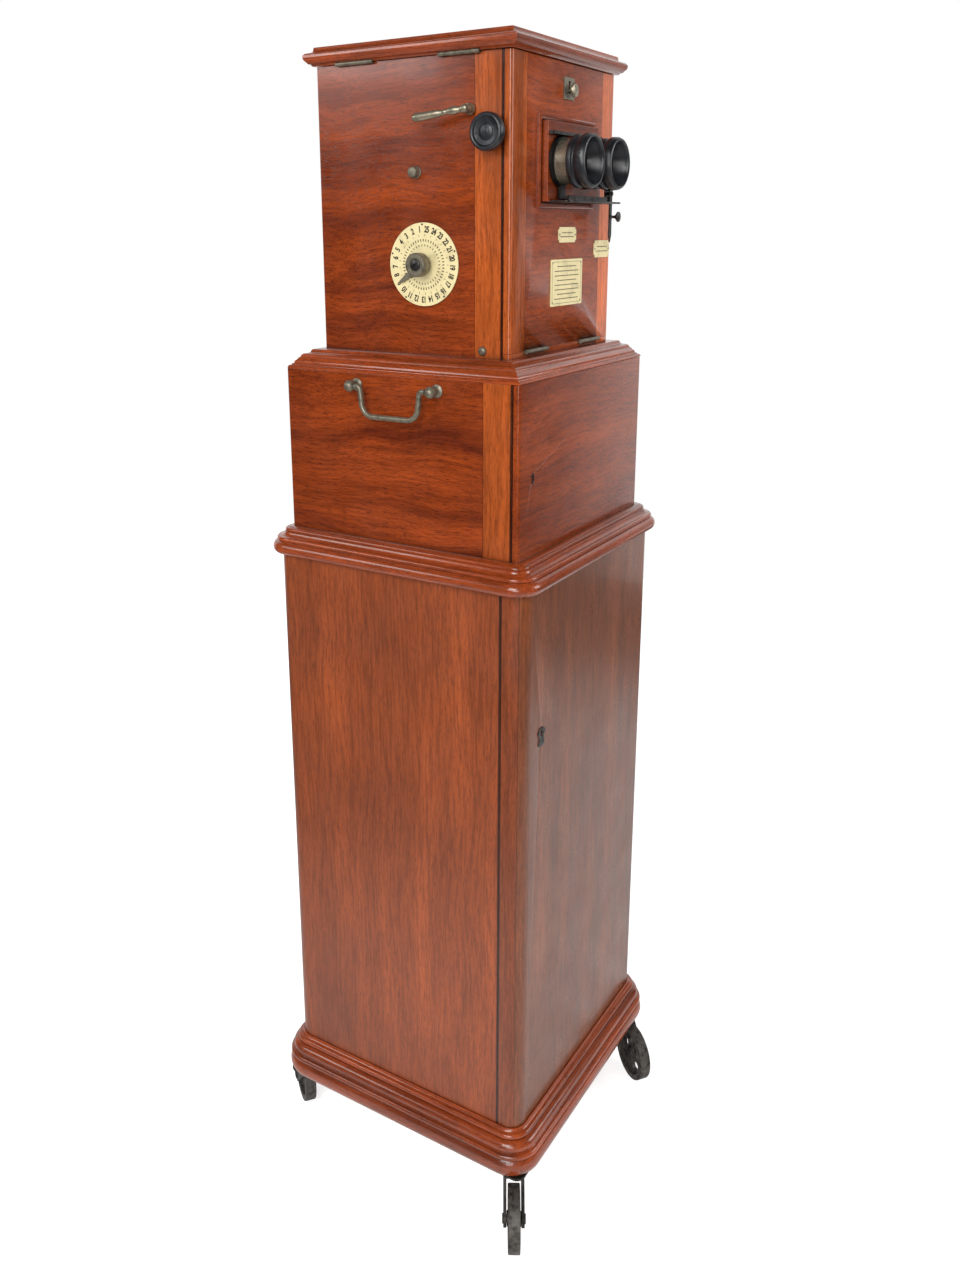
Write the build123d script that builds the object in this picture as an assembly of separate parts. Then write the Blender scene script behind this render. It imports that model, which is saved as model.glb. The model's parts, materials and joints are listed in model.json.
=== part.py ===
from build123d import *
import math
import os

# Stereoscopic slide viewer in a wheeled column cabinet.  Millimetres, +Z up.
# The origin is on the floor under the middle of the cabinet.  The front, with
# the eyepieces and the doors, faces -Y; the dial and the levers are on -X.

# ---- driving dimensions -------------------------------------------------
WHEEL_RADIUS = 38.0
WHEEL_WIDTH = 15.0
CASTER_TRAIL = 38.0
CASTER_GAP = 4.0          # wheel top to the swivel plate
SWIVEL_INSET = 9.0        # swivel axis to the cabinet's face
SWIVEL_PLATE = 42.0
SWIVEL_PLATE_T = 3.0
FORK_GAUGE = 4.0

BASE_H = 59.0
CABINET_W = 352.0
CABINET_D = 346.0
CABINET_H = 694.0
CABINET_R = 20.0          # rounded vertical corners
CABINET_WALL = 22.0
CABINET_DOOR_T = 28.5
WAIST_H = 32.0
TIER_STEP = 16.0          # middle box set in from the cabinet, each side
MIDDLE_H = 194.0
MIDDLE_WALL = 14.0
MIDDLE_DOOR_T = 9.0
PLINTH_H = 21.0
HEAD_W = 250.0
HEAD_D = 250.0
HEAD_H = 313.0
HEAD_WALL = 12.0
HEAD_DOOR_T = 10.0
DOOR_EDGE_R = 3.5         # rounded upright edges of the two upper doors
LID_T = 20.0
BACK_T = 12.0
BOARD_T = 20.0
SEAM = 0.3                # gap left round doors and lids
REVEAL = 0.4              # gap over and under a door

SLIDE_W = 107.0
SLIDE_H = 45.0
SLIDE_T = 1.3
SLOT_COUNT = 25
SLOT_PITCH = 3.8
SLOT_AT_REST = 9
GATE_Y = 8.0              # plane in which the slide is looked at
LENS_SPACING = 68.0

DIAL_RADIUS = 45.0
DIAL_Y = -16.0
DIAL_UP = 99.0            # heights above the head's floor
LEVER_Y = -76.7
LEVER_UP = 257.0
LEVER_REACH = 59.0
LEVER_SWING = 76.0        # degrees
FOCUS_Y = -104.5
FOCUS_UP = 233.0
EYE_UP = 207.0
CATCH_UP = 284.0
CATCH_X = 3.0
CATCH_TRAVEL = 7.0
STUD_Y = -7.0
STUD_UP = 196.5
LIFT = 48.0
RUN = 0.06                # radial clearance of a shaft in its bore

# ---- levels and faces worked out from them ------------------------------
BASE_Z = 2 * WHEEL_RADIUS + CASTER_GAP + SWIVEL_PLATE_T
CABINET_Z = BASE_Z + BASE_H
WAIST_Z = CABINET_Z + CABINET_H
MIDDLE_Z = WAIST_Z + WAIST_H
PLINTH_Z = MIDDLE_Z + MIDDLE_H
HEAD_Z = PLINTH_Z + PLINTH_H
LID_Z = HEAD_Z + HEAD_H
CABINET_X = CABINET_W / 2
CABINET_Y = CABINET_D / 2
MIDDLE_X = CABINET_X - TIER_STEP
MIDDLE_Y = CABINET_Y - TIER_STEP
HEAD_X = HEAD_W / 2
HEAD_Y = HEAD_D / 2
CABINET_SEAM_Y = -CABINET_Y + CABINET_DOOR_T
MIDDLE_SEAM_Y = -MIDDLE_Y + MIDDLE_DOOR_T
HEAD_SEAM_Y = -HEAD_Y + HEAD_DOOR_T
DIAL_Z = HEAD_Z + DIAL_UP
LEVER_Z = HEAD_Z + LEVER_UP
FOCUS_Z = HEAD_Z + FOCUS_UP
EYE_Z = HEAD_Z + EYE_UP
CATCH_Z = HEAD_Z + CATCH_UP
STUD_Z = HEAD_Z + STUD_UP
HEAD_INNER_X = HEAD_X - HEAD_WALL

parts = {}


# ---- small helpers ------------------------------------------------------
def block(x0, x1, y0, y1, z0, z1):
    """A box between two corners."""
    size = Box(x1 - x0, y1 - y0, z1 - z0)
    return Pos((x0 + x1) / 2, (y0 + y1) / 2, (z0 + z1) / 2) * size


def rod(radius, start, along, length):
    """A round bar from start, in the direction along."""
    return extrude(Plane(origin=start, z_dir=along) * Circle(radius), length)


def ring(outer, inner, start, along, length):
    """A round tube from start, in the direction along."""
    return rod(outer, start, along, length) - rod(inner, start, along, length)


def mirrored(solids, plane=Plane.YZ):
    """The solids and their mirror images."""
    return list(solids) + [mirror(solid, about=plane) for solid in solids]


def polygon(points):
    """A flat face with straight sides."""
    return make_face(Polyline(*points, close=True))


def spun(face, origin, along):
    """A (radius, distance along) face spun about the axis."""
    return Plane(origin=origin, z_dir=along) * revolve(Plane.XZ * face, Axis.Z, 360)


def turned(profile_points, origin, along):
    """A turned piece with a straight-sided profile."""
    return spun(polygon(profile_points), origin, along)


def outline(start, *steps):
    """A closed face.  A step is a point to run to, or (through, to) for an arc."""
    edges = []
    here = start
    for step in steps:
        if isinstance(step[0], tuple):
            edges.append(ThreePointArc(here, step[0], step[1]))
            here = step[1]
        else:
            edges.append(Line(here, step))
            here = step
    edges.append(Line(here, start))
    return make_face(Wire(edges))


def flat_list(*groups):
    """One list of solids from solids, shapes and lists."""
    solids = []
    for group in groups:
        if isinstance(group, (list, tuple)):
            solids += flat_list(*group)
        else:
            solids += list(group.solids())
    return solids


def save(node, *groups):
    """Keep a node's solids under its name."""
    parts[node] = Compound(children=flat_list(*groups))


# ---- mouldings ----------------------------------------------------------
def moulding_lengths(width, depth, radius, face):
    """Four mitred lengths round a rounded rectangle, from one section.

    The section's first coordinate is outwards from the rectangle and its
    second is up.
    """
    lengths = []
    for side in range(4):
        across, away = (width, depth) if side % 2 == 0 else (depth, width)
        half_run = across / 2 - radius
        plane = Plane(origin=(-half_run, -away / 2, 0), x_dir=(0, -1, 0), z_dir=(-1, 0, 0))
        section = plane * face
        length = extrude(section, 2 * half_run, dir=(1, 0, 0))
        for end in (-1, 1):
            centre = Axis((end * half_run, -away / 2 + radius, 0), (0, 0, 1))
            moved = Pos((end + 1) * half_run, 0, 0) * section
            length += revolve(moved, centre, end * 45)
        lengths.append(Rot(0, 0, 90 * side) * length)
    return lengths


def moulded_board(half_x, half_y, height, offsets):
    """A board with a moulded edge and sharp mitres, from one edge outline."""
    reach = 2 * max(half_x, half_y)
    sections = []
    for half, turn in ((half_x, 0), (half_y, 90)):
        points = [(half + out, up) for out, up in offsets]
        points += [(-out, up) for out, up in reversed(points)]
        face = polygon(points)
        bar = extrude(Plane.XZ * face, reach, both=True)
        sections.append(Rot(0, 0, turn) * bar)
    return Pos(0, 0, height) * (sections[0] & sections[1])


def base_section():
    """Base moulding: a large torus, two beads and a small fillet above."""
    return outline(
        (-15, 0), (14, 0), ((21.5, 13), (17.5, 24.5)), (16.6, 25.5),
        ((20.2, 29.5), (16.2, 33.5)), (15.2, 34.3), ((15.5, 41.5), (9.2, 47)),
        (7.2, 47.6), ((9, 51.2), (5, 54.8)), (3.2, 55.2), (2, BASE_H), (-15, BASE_H))


def waist_section():
    """Waist moulding: a round bead, then reeds stepping in to the middle box."""
    return outline(
        (-16, 0), (2.8, 0), ((12, 8.5), (7, 15.6)), (5.6, 16.4),
        ((6.8, 19), (3.4, 21.4)), ((-1.2, 23.2), (-3, 26.4)), (-4.2, 26.8),
        ((-4, 29.8), (-7.2, 31)), (-8.4, WAIST_H), (-16, WAIST_H))


PLINTH_EDGE = [
    (0, 0), (0, 1.2), (-1.4, 3), (-3.2, 3.2), (-3.6, 4.6), (-5.6, 5.4), (-6.2, 8),
    (-8, 9.2), (-9.6, 11.6), (-11, 12.2), (-11.6, 14.2), (-13.4, 15.8), (-18, 16.6),
    (-19.6, 17.6), (-20.4, 19.6), (-21.8, PLINTH_H)]
LID_EDGE = [
    (3.4, 0), (4.8, 1.6), (7.2, 2.6), (8.8, 4.6), (10.6, 6.4), (11.5, 9), (11.2, 11.4),
    (9.6, 13.2), (6.8, 14.2), (4, 15), (2.8, 16.2), (2.6, 18.4), (2, LID_T)]


# ---- hinges -------------------------------------------------------------
HINGE_PIN_R = 1.2
LEAF_T = 1.2


def hinge(length, barrel_radius, leaf_width, place):
    """A butt hinge: (fixed leaf with its pin, moving leaf), in its place.

    Made along X with the leaves towards +Y and the moving leaf on top.
    """
    middle = length * 0.44
    clear = barrel_radius + 0.4
    pin = rod(HINGE_PIN_R, (-length / 2, 0, 0), (1, 0, 0), length)
    bore = rod(HINGE_PIN_R + RUN, (-length / 2, 0, 0), (1, 0, 0), length)
    fixed = pin
    for end in (-1, 1):
        x0, x1 = sorted((end * length / 2, end * (middle / 2 + 0.25)))
        knuckle = rod(barrel_radius, (x0, 0, 0), (1, 0, 0), x1 - x0)
        fixed += knuckle + block(x0, x1, 0, clear + 1, -SEAM / 2 - LEAF_T, -SEAM / 2)
    fixed += block(-length / 2, length / 2, clear, leaf_width, -SEAM / 2 - LEAF_T, -SEAM / 2)
    moving = rod(barrel_radius, (-middle / 2, 0, 0), (1, 0, 0), middle)
    moving += block(-middle / 2, middle / 2, 0, clear + 1, SEAM / 2, SEAM / 2 + LEAF_T)
    moving += block(-length / 2, length / 2, clear, leaf_width, SEAM / 2, SEAM / 2 + LEAF_T)
    moving -= bore
    return place * fixed, place * moving


def hinge_recess(length, barrel_radius, leaf_width, place):
    """The room that a hinge takes out of the two pieces it joins."""
    leaves = block(-length / 2 - 0.2, length / 2 + 0.2, -barrel_radius, leaf_width + 0.2,
                   -SEAM / 2 - LEAF_T, SEAM / 2 + LEAF_T)
    barrel = rod(barrel_radius + 0.4, (-length / 2 - 0.2, 0, 0), (1, 0, 0), length + 0.4)
    return place * (leaves + barrel)


# ---- gear teeth ---------------------------------------------------------
BACKLASH = 0.25


def gear_sector(radius, pitch, first, count, hub_radius, centre, width, direction):
    """A flat gear, or part of one, in the YZ plane, facing +X from centre.

    direction is the angle of tooth 0 from +Y, and the teeth follow at equal
    steps.  Teeth are straight sided and slightly thin, so that they run free.
    """
    module = pitch / math.pi
    root = radius - 1.2 * module
    tip = radius + 0.85 * module
    step = pitch / radius
    root_half = (pitch / 4 - BACKLASH / 2) / radius + 0.30 * module / radius
    tip_half = (pitch / 4 - BACKLASH / 2) / radius - 0.34 * module / radius
    points = []
    for tooth in range(first, first + count):
        angle = direction + tooth * step
        for reach, half in ((root, -root_half), (tip, -tip_half), (tip, tip_half), (root, root_half)):
            points.append((reach * math.cos(angle + half), reach * math.sin(angle + half)))
    whole = count * step > 2 * math.pi - step
    if not whole:
        points.append((0, 0))
    face = polygon(points)
    plane = Plane(origin=centre, x_dir=(0, 1, 0), z_dir=(1, 0, 0))
    gear = extrude(plane * face, width)
    return gear + rod(hub_radius, centre, (1, 0, 0), width)


def rack(length_low, length_high, pitch, width, back, phase):
    """A straight rack along +X with its teeth towards -Y, pitch line at y = 0.

    A tooth is centred at x = phase and at every pitch from it.
    """
    module = pitch / math.pi
    root_half = pitch / 4 - BACKLASH / 2 + 0.30 * module
    tip_half = pitch / 4 - BACKLASH / 2 - 0.26 * module
    depth = 1.2 * module
    reach = 0.85 * module
    solid = extrude(polygon([(length_low, depth), (length_high, depth),
                                   (length_high, back), (length_low, back)]), width)
    first = math.ceil((length_low + root_half - phase) / pitch)
    last = math.floor((length_high - root_half - phase) / pitch)
    for tooth in range(first, last + 1):
        at = phase + tooth * pitch
        solid += extrude(polygon([(at - root_half, depth), (at - tip_half, -reach),
                                        (at + tip_half, -reach), (at + root_half, depth)]), width)
    return solid


# ---- casters ------------------------------------------------------------
CROWN_TOP = BASE_Z - SWIVEL_PLATE_T - 3.0
CROWN_T = 4.7
CROWN_R = 14.5
PIVOT_R = 5.0
AXLE_R = 4.0
FORK_HALF = 13.2          # outside of the fork to its middle
RIM_DEPTH = 8.0
HUB_R = 9.0
SPOKE_HOLES = 5
SWIVEL_X = CABINET_X - SWIVEL_INSET
SWIVEL_Y = CABINET_Y - SWIVEL_INSET
CASTERS = {
    "front_left": (-1, -1, 210), "back_right": (1, 1, 30),
    "front_right": (1, -1, 232.5), "back_left": (-1, 1, 52.5)}


def caster_place(name):
    side_x, side_y, heading = CASTERS[name]
    return Pos(side_x * SWIVEL_X, side_y * SWIVEL_Y, 0) * Rot(0, 0, heading)


def caster_fork():
    """Crown, race, pivot and two straight legs, with the axle as its own piece."""
    fork = rod(CROWN_R, (0, 0, CROWN_TOP - CROWN_T), (0, 0, 1), CROWN_T)
    fork += block(-13, 13, -FORK_HALF, FORK_HALF, CROWN_TOP - CROWN_T, CROWN_TOP)
    fork += rod(12, (0, 0, CROWN_TOP), (0, 0, 1), 2.9)
    fork += rod(PIVOT_R, (0, 0, CROWN_TOP), (0, 0, 1), BASE_Z - CROWN_TOP - 0.3)
    leg_face = polygon([(-13, CROWN_TOP), (13, CROWN_TOP), (CASTER_TRAIL + 9, WHEEL_RADIUS + 4),
                        (CASTER_TRAIL - 8, WHEEL_RADIUS - 6)])
    leg_face += Pos(CASTER_TRAIL, WHEEL_RADIUS) * Circle(10)
    for side in (-1, 1):
        low, high = sorted((side * FORK_HALF, side * (FORK_HALF - FORK_GAUGE)))
        plane = Plane(origin=(0, high, 0), x_dir=(1, 0, 0), z_dir=(0, -1, 0))
        fork += extrude(plane * leg_face, high - low)
    fork -= rod(AXLE_R, (CASTER_TRAIL, -30, WHEEL_RADIUS), (0, 1, 0), 60)
    axle = rod(AXLE_R, (CASTER_TRAIL, -FORK_HALF, WHEEL_RADIUS), (0, 1, 0), 2 * FORK_HALF)
    for side in (-1, 1):
        axle += rod(5.8, (CASTER_TRAIL, side * FORK_HALF, WHEEL_RADIUS), (0, side, 0), 1.4)
    return [fork, axle]


def caster_wheel():
    """An iron wheel: rim, pierced web and hub."""
    centre = (CASTER_TRAIL, 0, WHEEL_RADIUS)
    half = WHEEL_WIDTH / 2
    start = (CASTER_TRAIL, -half, WHEEL_RADIUS)
    wheel = ring(WHEEL_RADIUS, WHEEL_RADIUS - RIM_DEPTH, start, (0, 1, 0), WHEEL_WIDTH)
    wheel += rod(WHEEL_RADIUS - RIM_DEPTH + 0.5, (CASTER_TRAIL, -2.5, WHEEL_RADIUS), (0, 1, 0), 5)
    hub_half = FORK_HALF - FORK_GAUGE - 0.3
    wheel += rod(HUB_R, (CASTER_TRAIL, -hub_half, WHEEL_RADIUS), (0, 1, 0), 2 * hub_half)
    hole_out = (HUB_R + WHEEL_RADIUS - RIM_DEPTH) / 2
    for spoke in range(SPOKE_HOLES):
        turn = Rot(0, 360 * spoke / SPOKE_HOLES, 0)
        hole = Rot(90, 0, 0) * extrude(Ellipse(7.8, 6.6), 10, both=True)
        wheel -= Pos(*centre) * turn * Pos(0, 0, hole_out) * hole
    wheel -= rod(AXLE_R + RUN, (CASTER_TRAIL, -30, WHEEL_RADIUS), (0, 1, 0), 60)
    return wheel


def make_casters():
    plates = []
    half = SWIVEL_PLATE / 2
    for name in CASTERS:
        side_x, side_y, heading = CASTERS[name]
        place = caster_place(name)
        save("caster_fork_" + name, [place * piece for piece in caster_fork()])
        save("caster_wheel_" + name, place * caster_wheel())
        plate = block(-half, half, -half, half, BASE_Z - SWIVEL_PLATE_T, BASE_Z)
        plate = fillet(plate.edges().filter_by(Axis.Z), 12)
        plate -= rod(PIVOT_R + RUN, (0, 0, 0), (0, 0, 1), BASE_Z)
        plates.append(Pos(side_x * SWIVEL_X, side_y * SWIVEL_Y, 0) * plate)
    save("caster_plates", plates)


# ---- column cabinet -----------------------------------------------------
BASE_HOLE = 15.0          # inner face of the base moulding, in from the cabinet
FLOOR_T = 12.0
SHELF_COUNT = 5
KEY_X = 129.0             # keyholes, left of the middle
CABINET_KEY_UP = 520.0
MIDDLE_KEY_UP = 92.0


def keyhole(x, y, z, depth):
    hole = rod(1.9, (x, y, z), (0, 1, 0), depth)
    return hole + block(x - 0.9, x + 0.9, y, y + depth, z - 6, z)


HINGES = {
    # name: (length, barrel radius, leaf width, places)
    "lid": (50, 2.4, 13.8, [
        Plane(origin=(-HEAD_X - 2.8, y, LID_Z - SEAM / 2), x_dir=(0, -1, 0), z_dir=(0, 0, 1)).location
        for y in (-64, 71)]),
    "head_door": (50, 2.4, 11.4, [
        Plane(origin=(x, -HEAD_Y - 2.8, HEAD_Z + 6), x_dir=(1, 0, 0), z_dir=(0, 0, 1)).location
        for x in (-68, 68)]),
    "middle_door": (48, 3.2, 15.6, [
        Plane(origin=(MIDDLE_X + 3.6, MIDDLE_SEAM_Y, MIDDLE_Z + z), x_dir=(0, 0, 1),
              z_dir=(0, -1, 0)).location for z in (42, MIDDLE_H - 42)]),
    "cabinet_door": (70, 4.0, 22.0, [
        Plane(origin=(CABINET_X + 4.4, CABINET_SEAM_Y, CABINET_Z + z), x_dir=(0, 0, 1),
              z_dir=(0, -1, 0)).location for z in (90, CABINET_H - 90)]),
}


def cut_hinges(solid, name):
    length, barrel, leaf, places = HINGES[name]
    for place in places:
        solid -= hinge_recess(length, barrel, leaf, place)
    return solid


def make_hinges():
    fixed = []
    for name, (length, barrel, leaf, places) in HINGES.items():
        moving = []
        for place in places:
            still, swinging = hinge(length, barrel, leaf, place)
            fixed.append(still)
            moving.append(swinging)
        save(name + "_leaves", moving)
    save("hinge_leaves_and_pins", fixed)


def make_base():
    lengths = moulding_lengths(CABINET_W, CABINET_D, CABINET_R, base_section())
    save("base_moulding", [Pos(0, 0, BASE_Z) * length for length in lengths])
    x, y = CABINET_X - BASE_HOLE, CABINET_Y - BASE_HOLE
    low = block(-x, x, -y, y, BASE_Z, BASE_Z + 25)
    floor = block(-x, x, -y, y, CABINET_Z - FLOOR_T, CABINET_Z)
    x, y = MIDDLE_X, CABINET_Y - TIER_STEP
    deck = block(-x, x, -y, y, MIDDLE_Z - BOARD_T, MIDDLE_Z)
    corner = CABINET_R - BASE_HOLE
    boards = [fillet(board.edges().filter_by(Axis.Z), corner) for board in (low, floor)]
    boards.append(fillet(deck.edges().filter_by(Axis.Z), CABINET_R - TIER_STEP))
    save("deck_boards", boards)
    lengths = moulding_lengths(CABINET_W, CABINET_D, CABINET_R, waist_section())
    save("waist_moulding", [Pos(0, 0, WAIST_Z) * length for length in lengths])


def make_cabinet():
    inner = CABINET_X - CABINET_WALL
    side = block(inner, CABINET_X, CABINET_SEAM_Y + SEAM / 2, CABINET_Y, CABINET_Z, WAIST_Z)
    corner = side.edges().filter_by(Axis.Z).group_by(Axis.X)[-1].sort_by(Axis.Y)[-1]
    side = fillet(corner, CABINET_R)
    left = mirror(side, about=Plane.YZ)
    save("cabinet_sides", cut_hinges(side, "cabinet_door"), left)
    back = block(-inner, inner, CABINET_Y - BACK_T, CABINET_Y, CABINET_Z, WAIST_Z)
    low, high = CABINET_Z + REVEAL, WAIST_Z - REVEAL
    door = block(-CABINET_X, CABINET_X, -CABINET_Y, CABINET_SEAM_Y - SEAM / 2, low, high)
    door = fillet(door.edges().filter_by(Axis.Z).group_by(Axis.Y)[0], CABINET_R)
    door -= keyhole(-KEY_X, -CABINET_Y, CABINET_Z + CABINET_KEY_UP, 16)
    save("cabinet_door", cut_hinges(door, "cabinet_door"))
    pitch = CABINET_H / (SHELF_COUNT + 1)
    shelves = []
    for number in range(1, SHELF_COUNT + 1):
        top = CABINET_Z + number * pitch
        shelves.append(block(-inner, inner, CABINET_SEAM_Y + 14, CABINET_Y - BACK_T, top - 10, top))
    inner = MIDDLE_X - MIDDLE_WALL
    middle_back = block(-inner, inner, MIDDLE_Y - 10, MIDDLE_Y, MIDDLE_Z, PLINTH_Z)
    save("back_panels", back, middle_back)
    half_up = MIDDLE_Z + MIDDLE_H / 2
    shelves.append(block(-inner, inner, MIDDLE_SEAM_Y + 14, MIDDLE_Y - 10, half_up - 8, half_up))
    save("shelves", shelves)


def make_middle():
    inner = MIDDLE_X - MIDDLE_WALL
    side = block(inner, MIDDLE_X, MIDDLE_SEAM_Y + SEAM / 2, MIDDLE_Y, MIDDLE_Z, PLINTH_Z)
    left = mirror(side, about=Plane.YZ)
    save("middle_sides", cut_hinges(side, "middle_door"), left)
    low, high = MIDDLE_Z + REVEAL, PLINTH_Z - REVEAL
    door = block(-MIDDLE_X, MIDDLE_X, -MIDDLE_Y, MIDDLE_SEAM_Y - SEAM / 2, low, high)
    door = fillet(door.edges().filter_by(Axis.Z).group_by(Axis.Y)[0], DOOR_EDGE_R)
    door -= keyhole(-KEY_X, -MIDDLE_Y, MIDDLE_Z + MIDDLE_KEY_UP, MIDDLE_DOOR_T - 2)
    save("middle_door", cut_hinges(door, "middle_door"))
    save("plinth_board", moulded_board(MIDDLE_X, MIDDLE_Y, PLINTH_Z, PLINTH_EDGE))


# ---- bail handles -------------------------------------------------------
HANDLE_UP = 181.0         # above the middle box's floor
HANDLE_HALF = 54.4
HANDLE_OUT = 14.0
BALL_R = 6.6
BAIL_R = 3.1
BAIL_PIN_R = 2.0
BAIL_DROP = 33.0


def handle_post(y):
    """A turned post: rose, neck and ball, with a bore for the bail's end."""
    centre = (-MIDDLE_X - HANDLE_OUT, y, MIDDLE_Z + HANDLE_UP)
    neck_r = 3.4
    joint = HANDLE_OUT - math.sqrt(BALL_R ** 2 - neck_r ** 2)
    face = outline((0, 0), (7.2, 0), (7.2, 1.2), (4.4, 2.6), (neck_r, 4.5), (neck_r, joint),
                   ((BALL_R, HANDLE_OUT), (0, HANDLE_OUT + BALL_R)))
    post = spun(face, (-MIDDLE_X, y, MIDDLE_Z + HANDLE_UP), (-1, 0, 0))
    inward = -1 if y > 0 else 1
    return post - rod(BAIL_PIN_R + RUN, centre, (0, inward, 0), BALL_R + 1)


def bail():
    x, z = -MIDDLE_X - HANDLE_OUT, MIDDLE_Z + HANDLE_UP
    end = HANDLE_HALF - BALL_R - 0.3
    points = [(x, -end, z), (x, -end + 7, z), (x, -end + 11, z - BAIL_DROP),
              (x, end - 11, z - BAIL_DROP), (x, end - 7, z), (x, end, z)]
    path = FilletPolyline(*points, radius=(4.5, 15, 15, 4.5))
    bar = sweep(Plane(origin=points[0], z_dir=(0, 1, 0)) * Circle(BAIL_R), path=path)
    for side in (-1, 1):
        bar += rod(BAIL_PIN_R, (x, side * (end - 1), z), (0, side, 0), BALL_R - 0.5)
    return bar


def make_handles():
    posts = [handle_post(-HANDLE_HALF), handle_post(HANDLE_HALF)]
    save("handle_posts", mirrored(posts))
    save("bail_left", bail())
    save("bail_right", mirror(bail(), about=Plane.YZ))


# ---- head: case, lid and drop door --------------------------------------
RAIL_H = 6.0
TOP_RAIL_H = 16.0
TOP_RAIL_T = 10.0
BOARD_HALF_X = 62.5       # lens box
BOARD_HALF_Z = 41.5
BOARD_UP = EYE_UP - 0.2
BOARD_PROUD = 10.0
BOARD_BACK_Y = -95.0
BOARD_WALL = 5.0
BOARD_FRONT_T = 8.0
BOARD_FIT = 0.3
SHAFT_R = 4.0
FOCUS_SHAFT_R = 3.5
FOCUS_GEAR_R = 6.0
FOCUS_TEETH = 12
FOCUS_GEAR_X = -71.5
FOCUS_GEAR_W = 6.0
WINDOW_W = 120.0
WINDOW_H = 64.0
REBATE = 3.0
BOARD_Z = HEAD_Z + BOARD_UP
BOARD_FRONT_Y = -HEAD_Y - BOARD_PROUD


def make_head_case():
    top = LID_Z - SEAM
    front = HEAD_SEAM_Y + SEAM / 2
    right = block(HEAD_INNER_X, HEAD_X, front, HEAD_Y, HEAD_Z, top)
    left = mirror(right, about=Plane.YZ)
    for y, z, radius in ((DIAL_Y, DIAL_Z, SHAFT_R), (LEVER_Y, LEVER_Z, SHAFT_R),
                         (FOCUS_Y, FOCUS_Z, FOCUS_SHAFT_R)):
        left -= rod(radius + RUN, (-HEAD_X - 1, y, z), (1, 0, 0), HEAD_WALL + 2)
    save("head_sides", cut_hinges(left, "lid"), right)
    back = block(-HEAD_INNER_X, HEAD_INNER_X, HEAD_Y - BACK_T, HEAD_Y, HEAD_Z, top)
    x, z = WINDOW_W / 2, WINDOW_H / 2
    back -= block(-x, x, 0, HEAD_D, EYE_Z - z, EYE_Z + z)
    x, z = x + REBATE, z + REBATE
    inner_y = HEAD_Y - BACK_T
    back -= block(-x, x, 0, inner_y + REBATE, EYE_Z - z, EYE_Z + z)
    save("head_back", back)
    x, z = x - SEAM, z - SEAM
    save("ground_glass", block(-x, x, inner_y + 0.6, inner_y + REBATE, EYE_Z - z, EYE_Z + z))
    low_rail = block(-HEAD_X, HEAD_X, -HEAD_Y, front, HEAD_Z, HEAD_Z + RAIL_H - SEAM / 2)
    low_rail = fillet(low_rail.edges().filter_by(Axis.Z).group_by(Axis.Y)[0], DOOR_EDGE_R)
    low_rail = cut_hinges(low_rail, "head_door")
    rail_y = HEAD_SEAM_Y + 0.4
    high_rail = block(-HEAD_INNER_X, HEAD_INNER_X, rail_y, rail_y + TOP_RAIL_T,
                      LID_Z - TOP_RAIL_H, top)
    high_rail -= block(CATCH_X - 5, CATCH_X + 5, rail_y + 1.8, rail_y + 6.8,
                       LID_Z - TOP_RAIL_H, LID_Z - TOP_RAIL_H + 9)
    save("head_rails", low_rail, high_rail)


def make_lid():
    lid = moulded_board(HEAD_X, HEAD_Y, LID_Z, LID_EDGE)
    save("lid_panel", cut_hinges(lid, "lid"))


def catch_slot(y, depth):
    low, high = CATCH_Z - 3, CATCH_Z + CATCH_TRAVEL + 3
    return block(CATCH_X - 2.6, CATCH_X + 2.6, y, y + depth, low, high)


def focus_rack_box(clear):
    """Outer size of the focus rack, with room all round."""
    low = FOCUS_Z + FOCUS_GEAR_R - 1.2
    front = FOCUS_Y - 3.25 - 3.2 * math.pi * FOCUS_GEAR_R * 2 / FOCUS_TEETH - 1.2
    return block(FOCUS_GEAR_X - clear, -BOARD_HALF_X + clear, front - clear, HEAD_SEAM_Y + 1,
                 low - clear, low + 9.2 + clear)


def make_head_door():
    low, high = HEAD_Z + RAIL_H + SEAM / 2, LID_Z - 2 * REVEAL
    door = block(-HEAD_X, HEAD_X, -HEAD_Y, HEAD_SEAM_Y, low, high)
    door = fillet(door.edges().filter_by(Axis.Z).group_by(Axis.Y)[0], DOOR_EDGE_R)
    x, z = BOARD_HALF_X + BOARD_FIT, BOARD_HALF_Z + BOARD_FIT
    door -= block(-x, x, -HEAD_D, 0, BOARD_Z - z, BOARD_Z + z)
    door -= catch_slot(-HEAD_Y - 1, HEAD_DOOR_T + 2)
    door -= focus_rack_box(0.4)
    save("head_door", cut_hinges(door, "head_door"))
    plate = block(CATCH_X - 12, CATCH_X + 12, -HEAD_Y - 1.5, -HEAD_Y, CATCH_Z - 9.5, CATCH_Z + 13.5)
    save("catch_plate", plate - catch_slot(-HEAD_Y - 2, 3))
    knob = turned([(0, 0), (2.2, 0), (2.2, 17.5), (3.2, 18.6), (7, 19), (7.6, 20), (7, 21.4), (0, 22)],
                  (CATCH_X, HEAD_SEAM_Y + 2.4, CATCH_Z), (0, -1, 0))
    knob += block(CATCH_X - 4, CATCH_X + 4, HEAD_SEAM_Y + 2.4, HEAD_SEAM_Y + 6.2,
                  CATCH_Z - 8, CATCH_Z + 10)
    save("catch_knob", knob)


def label(x, z, width, height, notch):
    """A thin ivory plate, with its ends notched if asked."""
    y = -HEAD_Y - 0.8
    plate = block(x - width / 2, x + width / 2, y, -HEAD_Y, z - height / 2, z + height / 2)
    for side in (-1, 1):
        for up in (-1, 1):
            corner = rod(notch, (x + side * width / 2, y - 1, z + up * height / 2), (0, 1, 0), 3)
            plate -= corner
    return plate


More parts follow.
